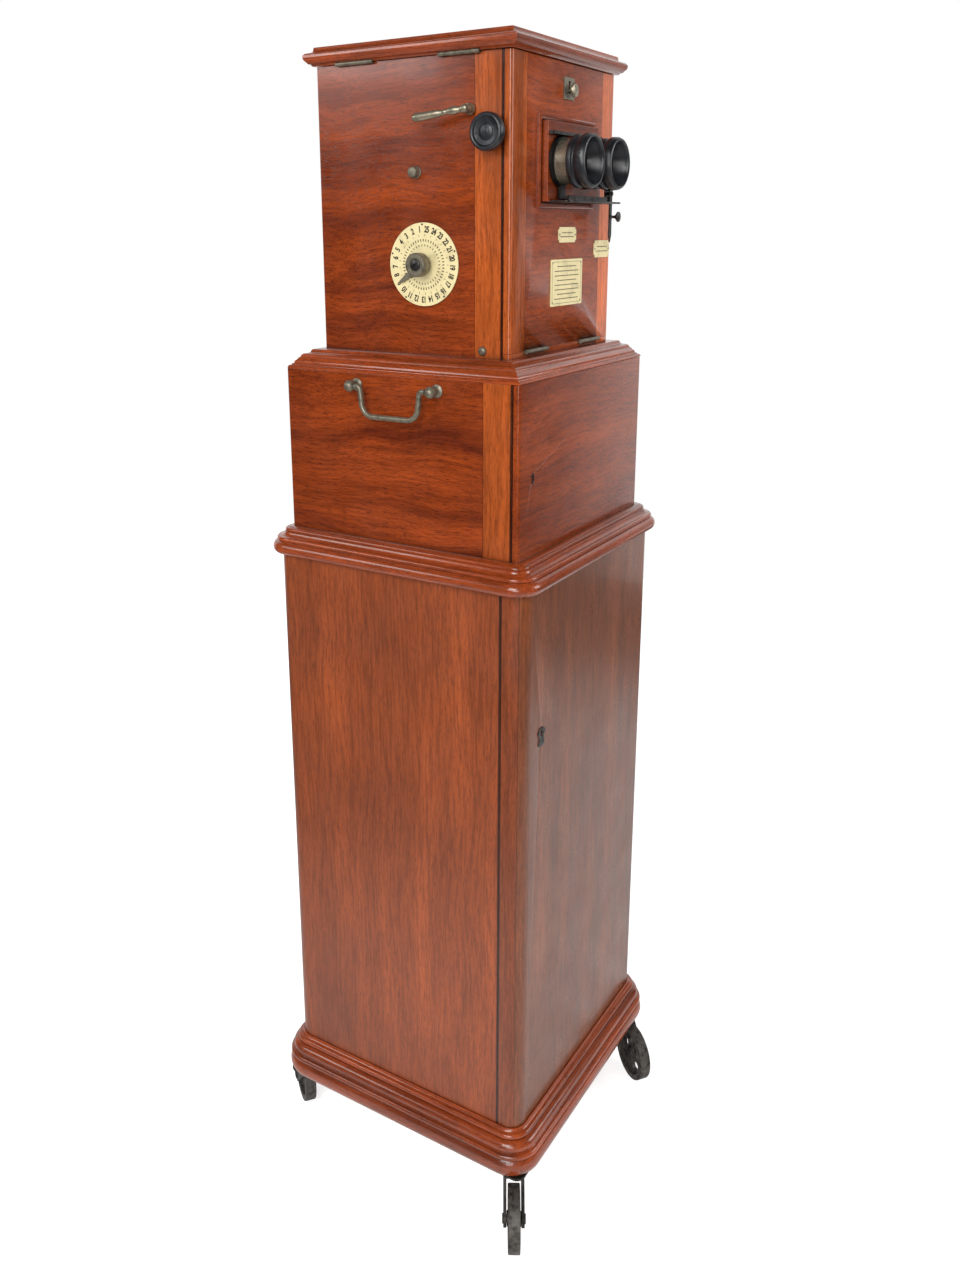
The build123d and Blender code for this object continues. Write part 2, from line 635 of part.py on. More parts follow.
def make_labels():
    save("label_plates", label(6.5, HEAD_Z + 130, 45, 17, 3.0), label(100, HEAD_Z + 113, 44, 20, 3.6),
         label(7, HEAD_Z + 77, 80, 52, 0.8))


# ---- lens box, eyepieces and the spacing lever --------------------------
FLANGE_R = 27.0
FLANGE_T = 4.0
TUBE_R = 23.0
TUBE_BORE = 17.5
EYE_TRAVEL = 2.4
CRANK = 6.5               # spacing lever: pins above and below its pivot
LEVER_X = 90.0
LINK_UP = EYE_UP - 30.5   # spacing lever's pivot
LINK_H = 3.0
LINK_T = 3.0
LINK_Z = HEAD_Z + LINK_UP
FLANGE_BACK_Y = BOARD_FRONT_Y - 0.3
LINK_FRONT_Y = FLANGE_BACK_Y - FLANGE_T


def make_lens_box():
    x, z = BOARD_HALF_X, BOARD_HALF_Z
    box = block(-x, x, BOARD_FRONT_Y, BOARD_BACK_Y, BOARD_Z - z, BOARD_Z + z)
    x, z = x - BOARD_WALL, z - BOARD_WALL
    box -= block(-x, x, BOARD_FRONT_Y + BOARD_FRONT_T, 0, BOARD_Z - z, BOARD_Z + z)
    for side in (-1, 1):
        slot = SlotCenterToCenter(2 * EYE_TRAVEL, 2 * TUBE_BORE)
        plane = Plane(origin=(side * LENS_SPACING / 2, BOARD_BACK_Y, EYE_Z), z_dir=(0, -1, 0))
        box -= extrude(plane * slot, 90)
    save("lens_box", box)
    pitch = 2 * math.pi * FOCUS_GEAR_R / FOCUS_TEETH
    plane = Plane(origin=(FOCUS_GEAR_X, FOCUS_Y, FOCUS_Z + FOCUS_GEAR_R), x_dir=(0, 1, 0), z_dir=(1, 0, 0))
    phase = -FOCUS_GEAR_R * math.sin(math.radians(31))
    teeth = rack(phase - 3.2 * pitch, phase + 1.0, pitch, -BOARD_HALF_X - FOCUS_GEAR_X, 7.5, phase)
    save("focus_rack", plane * teeth)


def make_bridge():
    floor_z = LINK_Z - CRANK - 3.6
    back = BOARD_FRONT_Y
    bridge = block(-56, LEVER_X + 5, back - 23, back, floor_z - 2, floor_z)
    bridge = fillet(bridge.edges().filter_by(Axis.Z).group_by(Axis.Y)[0], 6)
    bridge -= block(LEVER_X - 11, LEVER_X + 9, back - 24, back - 3.5, floor_z - 3, floor_z + 1)
    bridge += block(-52, 46, back - 21, back - 18.5, floor_z, floor_z + 5)
    bridge += block(LEVER_X - 8, LEVER_X + 5, back - 1, back, floor_z, LINK_Z + 9)
    bridge += rod(2.0, (LEVER_X, back - 1, LINK_Z), (0, -1, 0), LINK_T + FLANGE_T)
    rail_z = EYE_Z + FLANGE_R + 0.3
    rail = block(-60, 60, back - 7, back, rail_z, rail_z + 3.5)
    save("eyepiece_bridge", bridge, rail)


def make_eyepiece(side, name):
    x = side * LENS_SPACING / 2
    centre = (x, FLANGE_BACK_Y, EYE_Z)
    out = (0, -1, 0)
    tube = turned([(TUBE_BORE, 0), (FLANGE_R, 0), (FLANGE_R, 2.6), (FLANGE_R - 1.4, FLANGE_T),
                   (TUBE_R + 1.2, FLANGE_T), (TUBE_R, FLANGE_T + 1), (TUBE_R, 22), (TUBE_BORE, 22)],
                  centre, out)
    link = LINK_Z + side * CRANK
    low, high = link - LINK_H / 2, link + LINK_H / 2
    foot = EYE_Z - FLANGE_R + 2
    y0, y1 = LINK_FRONT_Y, LINK_FRONT_Y + LINK_T
    tube += block(x - 6, x + 6, y0, y1, low, foot)
    slot_half = LINK_H / 2 + 1.6
    bar = block(x, LEVER_X + 3.6, y0, y1, low, high)
    bar += block(LEVER_X - 3.6, LEVER_X + 3.6, y0, y1, link - slot_half, link + slot_half)
    bar -= block(LEVER_X - 1.5, LEVER_X + 1.5, y0 - 1, y1 + 1, link - slot_half + 1, link + slot_half - 1)
    tube += bar
    save("eyepiece_" + name, tube)
    cup = turned([(TUBE_R, 18.6), (26.2, 19), (27.8, 21), (27.6, 24.6), (25.6, 26.2), (25.4, 27.6),
                  (27.4, 29.4), (28.8, 33), (28.4, 38), (26.8, 41), (25, 41.6), (23.8, 40), (22.8, 36),
                  (19.5, 28.6), (17.2, 24), (17.2, 22.2), (TUBE_R, 22.2)], centre, out)
    save("eyecup_" + name, cup)
    lens = turned([(0, 9), (8, 9.4), (TUBE_BORE, 11), (TUBE_BORE, 13), (8, 14.6), (0, 15)], centre, out)
    save("lens_" + name, lens)


def make_spacing_lever():
    """A flat lever on the bridge; its two pins draw the eyepieces together or apart."""
    y1 = LINK_FRONT_Y - 0.2
    y0 = y1 - 1.6
    lever = block(LEVER_X - 3.2, LEVER_X + 3.2, y0, y1, LINK_Z - 48, LINK_Z + CRANK + 4)
    tip = polygon([(LEVER_X - 3.2, LINK_Z - 48), (LEVER_X + 3.2, LINK_Z - 48), (LEVER_X, LINK_Z - 56)])
    lever += extrude(Plane(origin=(0, y1, 0), x_dir=(1, 0, 0), z_dir=(0, -1, 0)) * tip, 1.6)
    lever += rod(5, (LEVER_X, y0, LINK_Z), (0, 1, 0), 1.6)
    lever -= rod(2.0 + RUN, (LEVER_X, y0 - 1, LINK_Z), (0, 1, 0), 4)
    for side in (-1, 1):
        lever += rod(1.3, (LEVER_X, y0, LINK_Z + side * CRANK), (0, 1, 0), 1.6 + 0.2 + LINK_T - 0.4)
    lever += turned([(0, 0), (2.4, 0), (1.5, 2.6), (1.7, 5.2), (4.6, 8.2), (6, 9), (5.8, 10.6), (0, 11.4)],
                    (LEVER_X, y0, LINK_Z - 26.5), (0, -1, 0))
    save("spacing_lever", lever)


# ---- controls on the left side ------------------------------------------
OUTWARD = (-1, 0, 0)
WALL_X = -HEAD_X
DIAL_GEAR_X = -84.0
DIAL_GEAR_W = 6.0
DIAL_GEAR_R = SLOT_COUNT * SLOT_PITCH / (2 * math.pi)
SECTOR_X = -100.0
SECTOR_W = 4.0
TOOTH_PITCH = 3.0
SECTOR_R = LIFT / math.radians(LEVER_SWING)


def make_dial():
    plate = ring(DIAL_RADIUS, 6, (WALL_X, DIAL_Y, DIAL_Z), OUTWARD, 1.2)
    save("dial_plate", plate)
    centre = (WALL_X, DIAL_Y, DIAL_Z)
    knob = turned([(SHAFT_R, 4.4), (8.5, 4.4), (9, 6.2), (12, 6.8), (13, 8), (13, 17.6), (12, 19.2),
                   (8.2, 19.2), (7.4, 18), (SHAFT_R, 18)], centre, OUTWARD)
    pointer = ring(9.5, SHAFT_R, (WALL_X - 2.6, DIAL_Y, DIAL_Z), OUTWARD, 1.8)
    angle = math.radians(14.4 * (SLOT_AT_REST - 0.5))
    arm = polygon([(6, -4.2), (26, -2.8), (36, -1), (37.5, 0.4), (36, 1.4), (26, 2.8), (6, 4.2)])
    plane = Plane(origin=(WALL_X - 2.6, DIAL_Y, DIAL_Z), x_dir=(0, math.sin(angle), math.cos(angle)),
                  z_dir=OUTWARD)
    pointer += extrude(plane * arm, 1.8)
    save("dial_knob", knob, pointer)
    shaft = rod(SHAFT_R, (WALL_X - 18, DIAL_Y, DIAL_Z), (1, 0, 0), DIAL_GEAR_X - WALL_X + 18)
    half_tooth = math.pi / SLOT_COUNT
    gear = gear_sector(DIAL_GEAR_R, SLOT_PITCH, 0, SLOT_COUNT, 7, (DIAL_GEAR_X, DIAL_Y, DIAL_Z),
                       DIAL_GEAR_W, math.pi / 2 + half_tooth)
    save("dial_shaft", shaft + gear)


def make_focus_knob():
    centre = (WALL_X, FOCUS_Y, FOCUS_Z)
    knob = turned([(FOCUS_SHAFT_R, 2), (8, 2), (8.6, 5), (13, 7.4), (17.4, 9), (19.3, 11.5), (19.3, 16.5),
                   (18.4, 19), (16.6, 20), (15, 19.4), (13.6, 17.4), (9, 16.6), (7.6, 18), (4, 19),
                   (FOCUS_SHAFT_R, 19)], centre, OUTWARD)
    save("focus_knob", knob)
    shaft = rod(FOCUS_SHAFT_R, (WALL_X - 18, FOCUS_Y, FOCUS_Z), (1, 0, 0), FOCUS_GEAR_X - WALL_X + 18)
    pitch = 2 * math.pi * FOCUS_GEAR_R / FOCUS_TEETH
    half_tooth = math.pi / FOCUS_TEETH
    gear = gear_sector(FOCUS_GEAR_R, pitch, 0, FOCUS_TEETH, 4.4, (FOCUS_GEAR_X, FOCUS_Y, FOCUS_Z),
                       FOCUS_GEAR_W, math.radians(90 + 31) + half_tooth)
    save("focus_shaft", shaft + gear)


def make_lift_lever():
    hub = turned([(SHAFT_R, 1.5), (6, 1.5), (6, 4), (5, 5.5), (5, 9), (SHAFT_R, 9)],
                 (WALL_X, LEVER_Y, LEVER_Z), OUTWARD)
    start = Vector(WALL_X - 12, LEVER_Y, LEVER_Z)
    along = Vector(-13, 57.2, -7.9).normalized()
    handle = turned([(0, -4.5), (2.6, -3.9), (4.2, -2), (4.4, 0), (4.2, 3), (2.9, 6.2), (4.1, 9.5), (4.4, 13),
                     (3.6, 17.5), (2.7, 20), (3.1, 23), (2.8, 26.5), (3.7, 28.5), (4.1, 34),
                     (4.7, LEVER_REACH - 5), (4.2, LEVER_REACH - 2), (2.4, LEVER_REACH), (0, LEVER_REACH)],
                    start, along)
    shank = rod(SHAFT_R, (WALL_X - 9, LEVER_Y, LEVER_Z), OUTWARD, 3)
    handle -= rod(6.5, (WALL_X, LEVER_Y, LEVER_Z), OUTWARD, 9)
    save("lift_lever", hub, handle + shank)
    shaft = rod(SHAFT_R, (WALL_X - 9, LEVER_Y, LEVER_Z), (1, 0, 0), SECTOR_X - WALL_X + 9)
    half_tooth = TOOTH_PITCH / SECTOR_R / 2
    count = round(LIFT / TOOTH_PITCH) + 4
    sector = gear_sector(SECTOR_R, TOOTH_PITCH, -2, count, 8, (SECTOR_X, LEVER_Y, LEVER_Z), SECTOR_W,
                         half_tooth)
    save("lift_shaft", shaft + sector)


def make_side_studs():
    stud = turned([(0, 0), (6.6, 0), (6.6, 1), (5.8, 1.6), (5.8, 8), (5, 9.4), (0, 9.8)],
                  (WALL_X, STUD_Y, STUD_Z), OUTWARD)
    screw = turned([(0, 0), (5, 0), (4.6, 1.6), (2.8, 3), (0, 3.4)],
                   (WALL_X, -91, HEAD_Z + 8), OUTWARD)
    save("side_studs", stud, screw)


# ---- slide transport ----------------------------------------------------
TRAY_FLOOR = EYE_Z - SLIDE_H / 2 - LIFT - 0.3
TRAY_FLOOR_T = 2.2
TRAY_TOP = TRAY_FLOOR + 24
TRAY_HALF_X = SLIDE_W / 2 + 0.7          # bottom of the slide grooves
TRAY_INNER_X = TRAY_HALF_X - 2.5
TRAY_OUTER_X = TRAY_HALF_X + 3.3
TRAY_BOTTOM = TRAY_FLOOR - TRAY_FLOOR_T
GROOVE = SLIDE_T + 0.9
CARRIAGE_T = 8.0
CARRIAGE_BOTTOM = TRAY_BOTTOM - CARRIAGE_T
SLOTS_HALF = (SLOT_COUNT - 1) / 2 * SLOT_PITCH
TRAY_CENTRE_Y = GATE_Y + (SLOT_AT_REST - (SLOT_COUNT + 1) / 2) * SLOT_PITCH
TRAY_HALF_Y = SLOTS_HALF + 7.4
BAR_HALF_Y = TRAY_HALF_Y + 2.5
RAIL_X = 54.0
RAIL_W = 8.0
RAIL_FIT = 0.3
CARRIAGE_RAIL_H = 7.0
BLADE_HALF_X = 10.0
BLADE_T = 1.6
LIFT_BAR_X = SECTOR_X
LIFT_BAR_W = 6.0
LIFT_ARM_H = 6.0
POST_X = -72.0            # lifter's post, outside the tray
POST_W = 6.0


def make_carriage():
    """An open frame under the tray, with a rack along its left side."""
    y0, y1 = TRAY_CENTRE_Y - BAR_HALF_Y, TRAY_CENTRE_Y + BAR_HALF_Y
    low, high = CARRIAGE_BOTTOM, TRAY_BOTTOM
    frame = block(-62, 62, y0, y1, low, high)
    frame -= block(-46, 46, y0 + 5, y1 - 5, low - 1, high + 1)
    for side in (-1, 1):
        x0, x1 = sorted((side * (TRAY_OUTER_X + 0.2), side * 62))
        frame += block(x0, x1, y0, y1, high, high + 12)
    rack_x = DIAL_GEAR_X
    for end_y in (y0, y1 - 5):
        frame += block(rack_x, -62, end_y, end_y + 5, low, high)
    contact = DIAL_Y - TRAY_CENTRE_Y
    travel_low = -(SLOT_AT_REST - 1) * SLOT_PITCH
    travel_high = (SLOT_COUNT - SLOT_AT_REST) * SLOT_PITCH
    pitch_z = DIAL_Z + DIAL_GEAR_R
    plane = Plane(origin=(rack_x, DIAL_Y, pitch_z), x_dir=(0, 1, 0), z_dir=(1, 0, 0))
    front = -travel_high - 2.2
    rear = max(-travel_low + 2.2, BAR_HALF_Y - contact)
    teeth = rack(front, rear, SLOT_PITCH, DIAL_GEAR_W, low - pitch_z, 0)
    save("slide_carriage", frame + plane * teeth)


def make_tray():
    """Grooved walls, two ends and a floor left open along the middle."""
    y0, y1 = TRAY_CENTRE_Y - TRAY_HALF_Y, TRAY_CENTRE_Y + TRAY_HALF_Y
    tray = block(-TRAY_OUTER_X, TRAY_OUTER_X, y0, y1, TRAY_BOTTOM, TRAY_TOP)
    tray -= block(-TRAY_INNER_X, TRAY_INNER_X, y0 + 3.5, y1 - 3.5, TRAY_FLOOR, TRAY_TOP + 1)
    tray -= block(-42, 42, y0 + 3.5, y1 - 3.5, TRAY_BOTTOM - 1, TRAY_FLOOR + 1)
    first = TRAY_CENTRE_Y - SLOTS_HALF
    grooves = []
    for slot in range(SLOT_COUNT):
        y = first + slot * SLOT_PITCH
        grooves.append(block(-TRAY_HALF_X, TRAY_HALF_X, y - GROOVE / 2, y + GROOVE / 2,
                             TRAY_FLOOR, TRAY_TOP + 1))
    tray -= grooves
    save("slide_tray", tray)


def make_rails():
    rails = []
    top = CARRIAGE_BOTTOM - RAIL_FIT
    for side in (-1, 1):
        x0, x1 = side * RAIL_X - RAIL_W / 2, side * RAIL_X + RAIL_W / 2
        rail = block(x0, x1, HEAD_SEAM_Y + 4, HEAD_Y - BACK_T, top - CARRIAGE_RAIL_H, top)
        for y in (HEAD_SEAM_Y + 4, HEAD_Y - BACK_T - 8):
            rail += block(x0, x1, y, y + 8, HEAD_Z, top)
        rails.append(rail)
    save("carriage_rails", rails)


def make_gate():
    """The masked plate behind the slide, its two channels and the lifter's guides."""
    low = EYE_Z + SLIDE_H / 2 - LIFT + 1.5
    high = EYE_Z + SLIDE_H / 2 + 6
    plate_y = GATE_Y + 4
    plate = block(-HEAD_INNER_X, HEAD_INNER_X, plate_y, plate_y + 4, low, high)
    for side in (-1, 1):
        x = side * LENS_SPACING / 2
        plate -= block(x - 20, x + 20, 0, HEAD_Y, EYE_Z - 20, EYE_Z + 20)
    channels = []
    for side in (-1, 1):
        x0, x1 = sorted((side * TRAY_INNER_X, side * TRAY_OUTER_X))
        channel = block(x0, x1, GATE_Y - 5, plate_y, low, high)
        channel -= block(-TRAY_HALF_X, TRAY_HALF_X, GATE_Y - GROOVE / 2, GATE_Y + GROOVE / 2, 0, LID_Z)
        channels.append(channel)
    guides = []
    rack_y = LEVER_Y + SECTOR_R
    for z in (LEVER_Z - 60, LEVER_Z - 40):
        guide = block(-HEAD_INNER_X, LIFT_BAR_X + LIFT_BAR_W + 4, rack_y - 4, rack_y + 12, z, z + 8)
        guide -= block(LIFT_BAR_X - 0.3, LIFT_BAR_X + LIFT_BAR_W + 0.3, rack_y - 1.4, rack_y + 8.3,
                       z - 1, z + 9)
        guides.append(guide)
    save("slide_gate", plate, channels, guides)


def make_lifter():
    """Toothed bar, an arm passed over and under the carriage, and the blade."""
    rack_y = LEVER_Y + SECTOR_R
    low = TRAY_BOTTOM + LIFT + 2
    high = low + LIFT_ARM_H
    x0, x1 = LIFT_BAR_X, LIFT_BAR_X + LIFT_BAR_W
    y0, y1 = GATE_Y - 3, GATE_Y + 3
    plane = Plane(origin=(x1, rack_y, LEVER_Z), x_dir=(0, 0, 1), z_dir=(-1, 0, 0))
    lifter = plane * rack(-8, LIFT + 3, TOOTH_PITCH, LIFT_BAR_W, 8, 0)
    lifter += block(x0, x1, rack_y + 1.2, rack_y + 8, low, LEVER_Z - 7)
    lifter += block(x0, x1, rack_y + 1.2, y1, low, high)
    lifter += block(x0, POST_X + POST_W, y0, y1, low, high)
    arm_top = CARRIAGE_BOTTOM - RAIL_FIT - CARRIAGE_RAIL_H - 3.7
    lifter += block(POST_X, POST_X + POST_W, y0, y1, arm_top - LIFT_ARM_H, high)
    lifter += block(POST_X, BLADE_HALF_X, y0, y1, arm_top - LIFT_ARM_H, arm_top)
    slide_low = EYE_Z - SLIDE_H / 2
    lifter += block(-BLADE_HALF_X, BLADE_HALF_X, GATE_Y - BLADE_T / 2, GATE_Y + BLADE_T / 2,
                    arm_top - 1, slide_low)
    save("lifter", lifter)
    x, y = SLIDE_W / 2, SLIDE_T / 2
    slide = block(-x, x, GATE_Y - y, GATE_Y + y, slide_low, slide_low + SLIDE_H)
    save("glass_slide", slide)


# ---- all the pieces -----------------------------------------------------
make_casters()
make_base()
make_cabinet()
make_middle()
make_handles()
make_head_case()
make_lid()
make_head_door()
make_labels()
make_hinges()
make_lens_box()
make_bridge()
make_eyepiece(-1, "left")
make_eyepiece(1, "right")
make_spacing_lever()
make_dial()
make_focus_knob()
make_lift_lever()
make_side_studs()
make_rails()
make_carriage()
make_tray()
make_gate()
make_lifter()

os.makedirs("parts", exist_ok=True)
for node, solids in parts.items():
    export_step(solids, "parts/" + node + ".step")
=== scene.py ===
import json
import math

import bmesh
import bpy
from mathutils import Matrix, Vector

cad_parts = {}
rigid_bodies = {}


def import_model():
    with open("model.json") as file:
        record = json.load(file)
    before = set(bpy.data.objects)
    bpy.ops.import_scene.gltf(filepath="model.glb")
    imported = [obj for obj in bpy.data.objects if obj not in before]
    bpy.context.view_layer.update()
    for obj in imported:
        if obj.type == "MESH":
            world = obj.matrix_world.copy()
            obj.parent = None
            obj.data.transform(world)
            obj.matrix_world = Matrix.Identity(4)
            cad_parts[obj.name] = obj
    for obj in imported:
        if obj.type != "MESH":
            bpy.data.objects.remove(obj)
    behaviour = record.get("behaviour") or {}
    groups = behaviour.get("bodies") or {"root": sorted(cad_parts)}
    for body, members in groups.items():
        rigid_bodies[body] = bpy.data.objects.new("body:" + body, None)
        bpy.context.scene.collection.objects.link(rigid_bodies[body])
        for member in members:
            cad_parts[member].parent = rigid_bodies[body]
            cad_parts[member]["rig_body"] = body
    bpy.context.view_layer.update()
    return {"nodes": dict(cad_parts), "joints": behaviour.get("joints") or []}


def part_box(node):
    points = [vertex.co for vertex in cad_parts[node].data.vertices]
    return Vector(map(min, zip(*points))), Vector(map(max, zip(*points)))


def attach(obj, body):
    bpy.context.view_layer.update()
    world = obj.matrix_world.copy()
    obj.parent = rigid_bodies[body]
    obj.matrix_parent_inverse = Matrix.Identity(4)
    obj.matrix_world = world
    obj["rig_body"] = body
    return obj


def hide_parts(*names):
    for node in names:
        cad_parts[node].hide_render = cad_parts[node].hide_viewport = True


bl_info = {
    "name": "Cabinet stereo viewer",
    "version": (1, 0, 0),
    "blender": (4, 5, 0),
    "location": "View3D > Sidebar > Stereo Viewer",
    "description": "Finishes a stereoscopic slide viewer in a wheeled column cabinet",
    "category": "Object",
}

# Metres, +Z up.  The eyepieces and doors face -Y, the dial and the lever are on -X.
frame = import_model()
NODES = frame["nodes"]


def linear(code):
    """An sRGB hex colour as linear red, green and blue."""
    values = [int(code[i:i + 2], 16) / 255 for i in (1, 3, 5)]
    return tuple(v / 12.92 if v <= 0.04045 else ((v + 0.055) / 1.055) ** 2.4 for v in values)


def centre(corners):
    """The middle of a box, from its lowest and highest corners."""
    low, high = corners
    return (low + high) / 2


DIAL_LOW, DIAL_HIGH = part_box("dial_plate")
DIAL = centre((DIAL_LOW, DIAL_HIGH))
DIAL_RADIUS = (DIAL_HIGH.z - DIAL_LOW.z) / 2


# ---- sizes and colours that a user may change ----------------------------
def colour(name, text, code):
    return bpy.props.FloatVectorProperty(
        name=name, description=text, subtype="COLOR", size=3, min=0, max=1, default=linear(code))


def amount(name, text, value, unit="NONE"):
    return bpy.props.FloatProperty(name=name, description=text, default=value, min=0, unit=unit)


def length(name, text, value):
    return bpy.props.FloatProperty(
        name=name, description=text, default=value, min=0, unit="LENGTH", precision=5)


class WoodSettings(bpy.types.PropertyGroup):
    side: colour("Side veneer", "Mid tone of the head's and middle box's side panels", "#843611")
    side_dark: colour("Side figure", "Dark figure in the side panels", "#521b0b")
    front: colour("Front veneer", "Mid tone of the drop door and middle door", "#9a4217")
    front_dark: colour("Front figure", "Dark figure in the upper doors", "#702b10")
    stile: colour("Stiles", "Mid tone of the upright stiles", "#a54e1e")
    column: colour("Column sides", "Mid tone of the tall cabinet's sides", "#8a3f17")
    column_door: colour("Column door", "Mid tone of the tall cabinet's door", "#7a3f1e")
    moulding: colour("Mouldings", "Mid tone of the turned and planed mouldings", "#964019")
    inside: colour("Inside", "Unpolished wood inside", "#8f6540")
    arris: length("Rounded edge", "Radius of the sanded edges", 0.0008)


class MetalSettings(bpy.types.PropertyGroup):
    nickel: colour("Nickel", "Worn nickel plate", "#a59b86")
    aged: colour("Aged nickel", "Dull nickel with brass showing through", "#777061")
    brass: colour("Brass", "Lacquered brass", "#a8843f")
    iron: colour("Iron", "Black cast iron", "#3a3733")
    screw_head: length("Screw head", "Radius of the hinge screws' heads", 0.0023)


class DialSettings(bpy.types.PropertyGroup):
    ivory: colour("Ivory", "Plate colour of the dial and labels", "#d6c797")
    ink: colour("Ink", "Numerals and lines", "#1d160e")
    count: bpy.props.IntProperty(name="Slots", description="Numbers on the dial", default=25, min=2)
    digit: length("Digit height", "Height of the numerals", 0.0066)
    ring: length("Digit ring", "Radius on which the numerals stand", DIAL_RADIUS * 0.835)


class StageSettings(bpy.types.PropertyGroup):
    floor: colour("Floor", "Colour of the floor", "#f4f4f4")
    key: amount("Key light", "Power of the large side light", 62, "POWER")
    fill: amount("Fill light", "Power of the front light", 32, "POWER")
    ambient: amount("Ambient", "Even light from all round", 0.5)
    room: amount("Dark room", "How bright the room is in reflections", 0.03)
    paper: bpy.props.FloatVectorProperty(name="Paper", description="Middle of the white paper on the floor",
                                         subtype="TRANSLATION", size=3, default=(0.35, -0.2, 0))
    lens: bpy.props.FloatProperty(name="Lens", description="Focal length in millimetres", default=31.02,
                                  min=1)


# ---- building blocks ------------------------------------------------------
MATH, MIX, NOISE = "ShaderNodeMath", "ShaderNodeMix", "ShaderNodeTexNoise"
RAMP, RANGE, SPLIT = "ShaderNodeValToRGB", "ShaderNodeMapRange", "ShaderNodeSeparateXYZ"
# In a colour mix, input 0 is the share of colour 7 over colour 6.


def node(tree, kind, inputs=None, stops=(), **settings):
    """A new node with its settings.

    Each input is set, or linked to a socket or to another node's own output.
    stops are the (place, colour) pairs of a colour ramp.
    """
    made = tree.nodes.new(kind)
    for name, value in settings.items():
        setattr(made, name, value)
    for name, value in (inputs or {}).items():
        if isinstance(value, bpy.types.Node):
            value = next(socket for socket in value.outputs if socket.enabled)
        if isinstance(value, bpy.types.NodeSocket):
            tree.links.new(value, made.inputs[name])
        else:
            made.inputs[name].default_value = value
    for _ in stops[2:]:
        made.color_ramp.elements.new(0.5)
    for number, (place, tone) in enumerate(stops):
        made.color_ramp.elements[number].position = place
        made.color_ramp.elements[number].color = tone
    return made


def rgba(values):
    return (*values, 1)


def dimmed(values, factor):
    return tuple(v * factor for v in values)


def scaled(values, factor):
    return rgba(tuple(min(1, v * factor) for v in values))


def new_material(name):
    """An empty material's tree, and the object's own coordinates in it."""
    material = bpy.data.materials.new(name)
    material.use_nodes = True
    material.node_tree.nodes.clear()
    return material.node_tree, node(material.node_tree, "ShaderNodeTexCoord").outputs["Object"]


def surface(tree, inputs):
    """Ends a material's tree in one shader."""
    node(tree, "ShaderNodeOutputMaterial", {"Surface": node(tree, "ShaderNodeBsdfPrincipled", inputs)})


def dented(tree, height, strength, distance):
    """Relief too fine to model, such as pores and casting pits."""
    return node(tree, "ShaderNodeBump", {"Height": height, "Strength": strength, "Distance": distance})


def stained(tree, place, scale, detail, stops):
    """A cloudy stain: its noise, and its colours."""
    noise = node(tree, NOISE, {"Vector": place, "Scale": scale, "Detail": detail})
    return noise, node(tree, RAMP, {"Fac": noise}, stops)


def from_noise(tree, noise, low, high):
    """A value that runs from low to high over the middle of a noise."""
    return node(tree, RANGE, {
        "Value": noise, "From Min": 0.3, "From Max": 0.7, "To Min": low, "To Max": high})


# Noise scales are cells in a metre: 1400 is 0.7 mm, 300 is 3 mm, 34 is 30 mm, 5 is 200 mm.
ALONG = 0.06              # the grain is drawn out about 17 times along the board
SWAY = 0.035              # how far interlocked grain wanders from straight
PORE_DARK = 0.62          # how fully a pore takes the dark colour


def grain(tree, place, run, mid, dark, figure=1.0, seed=0.0):
    """Mahogany: colour and pore mask of a board whose grain runs along one axis.

    Pores are about 0.4 mm wide and 6 mm long; they are drawn a little coarser
    than life so that they show.  Wide bands come from the interlocked grain.
    """
    turned = node(tree, "ShaderNodeMapping", {
        "Vector": place, "Scale": [ALONG if axis == run else 1.0 for axis in "XYZ"],
        "Location": (seed, seed * 0.7, seed * 1.3)})
    sway = node(tree, NOISE, {"Vector": place, "Scale": 7, "Detail": 1})
    reach = [SWAY * figure * (0 if axis == run else 1) for axis in "XYZ"]
    bent = node(tree, "ShaderNodeVectorMath", {0: sway.outputs["Color"], 1: reach, 2: turned},
                operation="MULTIPLY_ADD")
    bands = node(tree, NOISE, {"Vector": bent, "Scale": 34, "Detail": 3, "Roughness": 0.55})
    fine = node(tree, NOISE, {"Vector": bent, "Scale": 300, "Detail": 4, "Roughness": 0.7})
    pores = node(tree, NOISE, {"Vector": bent, "Scale": 1400, "Detail": 2, "Roughness": 0.5})
    cloud = node(tree, NOISE, {"Vector": place, "Scale": 5, "Detail": 2})
    between = tuple(a * 0.62 + b * 0.38 for a, b in zip(mid, dark))
    wide = node(tree, RAMP, {"Fac": bands}, [
        (0.27, rgba(dark)), (0.42, rgba(between)), (0.53, rgba(mid)), (0.70, scaled(mid, 1.28))])
    streak = node(tree, RAMP, {"Fac": fine}, [(0.36, (0.46, 0.44, 0.44, 1)), (0.58, (1.14, 1.14, 1.14, 1))])
    tone = node(tree, MIX, {0: 0.6, 6: wide, 7: streak}, data_type="RGBA", blend_type="MULTIPLY")
    mask = node(tree, RAMP, {"Fac": pores}, [(0.36, (1, 1, 1, 1)), (0.44, (0, 0, 0, 1))])
    filled = node(tree, MATH, {0: mask, 1: PORE_DARK}, operation="MULTIPLY")
    tone = node(tree, MIX, {0: filled, 6: tone, 7: scaled(dark, 0.42)}, data_type="RGBA")
    shade = node(tree, RAMP, {"Fac": cloud}, [(0.3, (0.80, 0.78, 0.78, 1)), (0.7, (1.14, 1.14, 1.14, 1))])
    return node(tree, MIX, {0: 0.8, 6: tone, 7: shade}, data_type="RGBA", blend_type="MULTIPLY"), mask


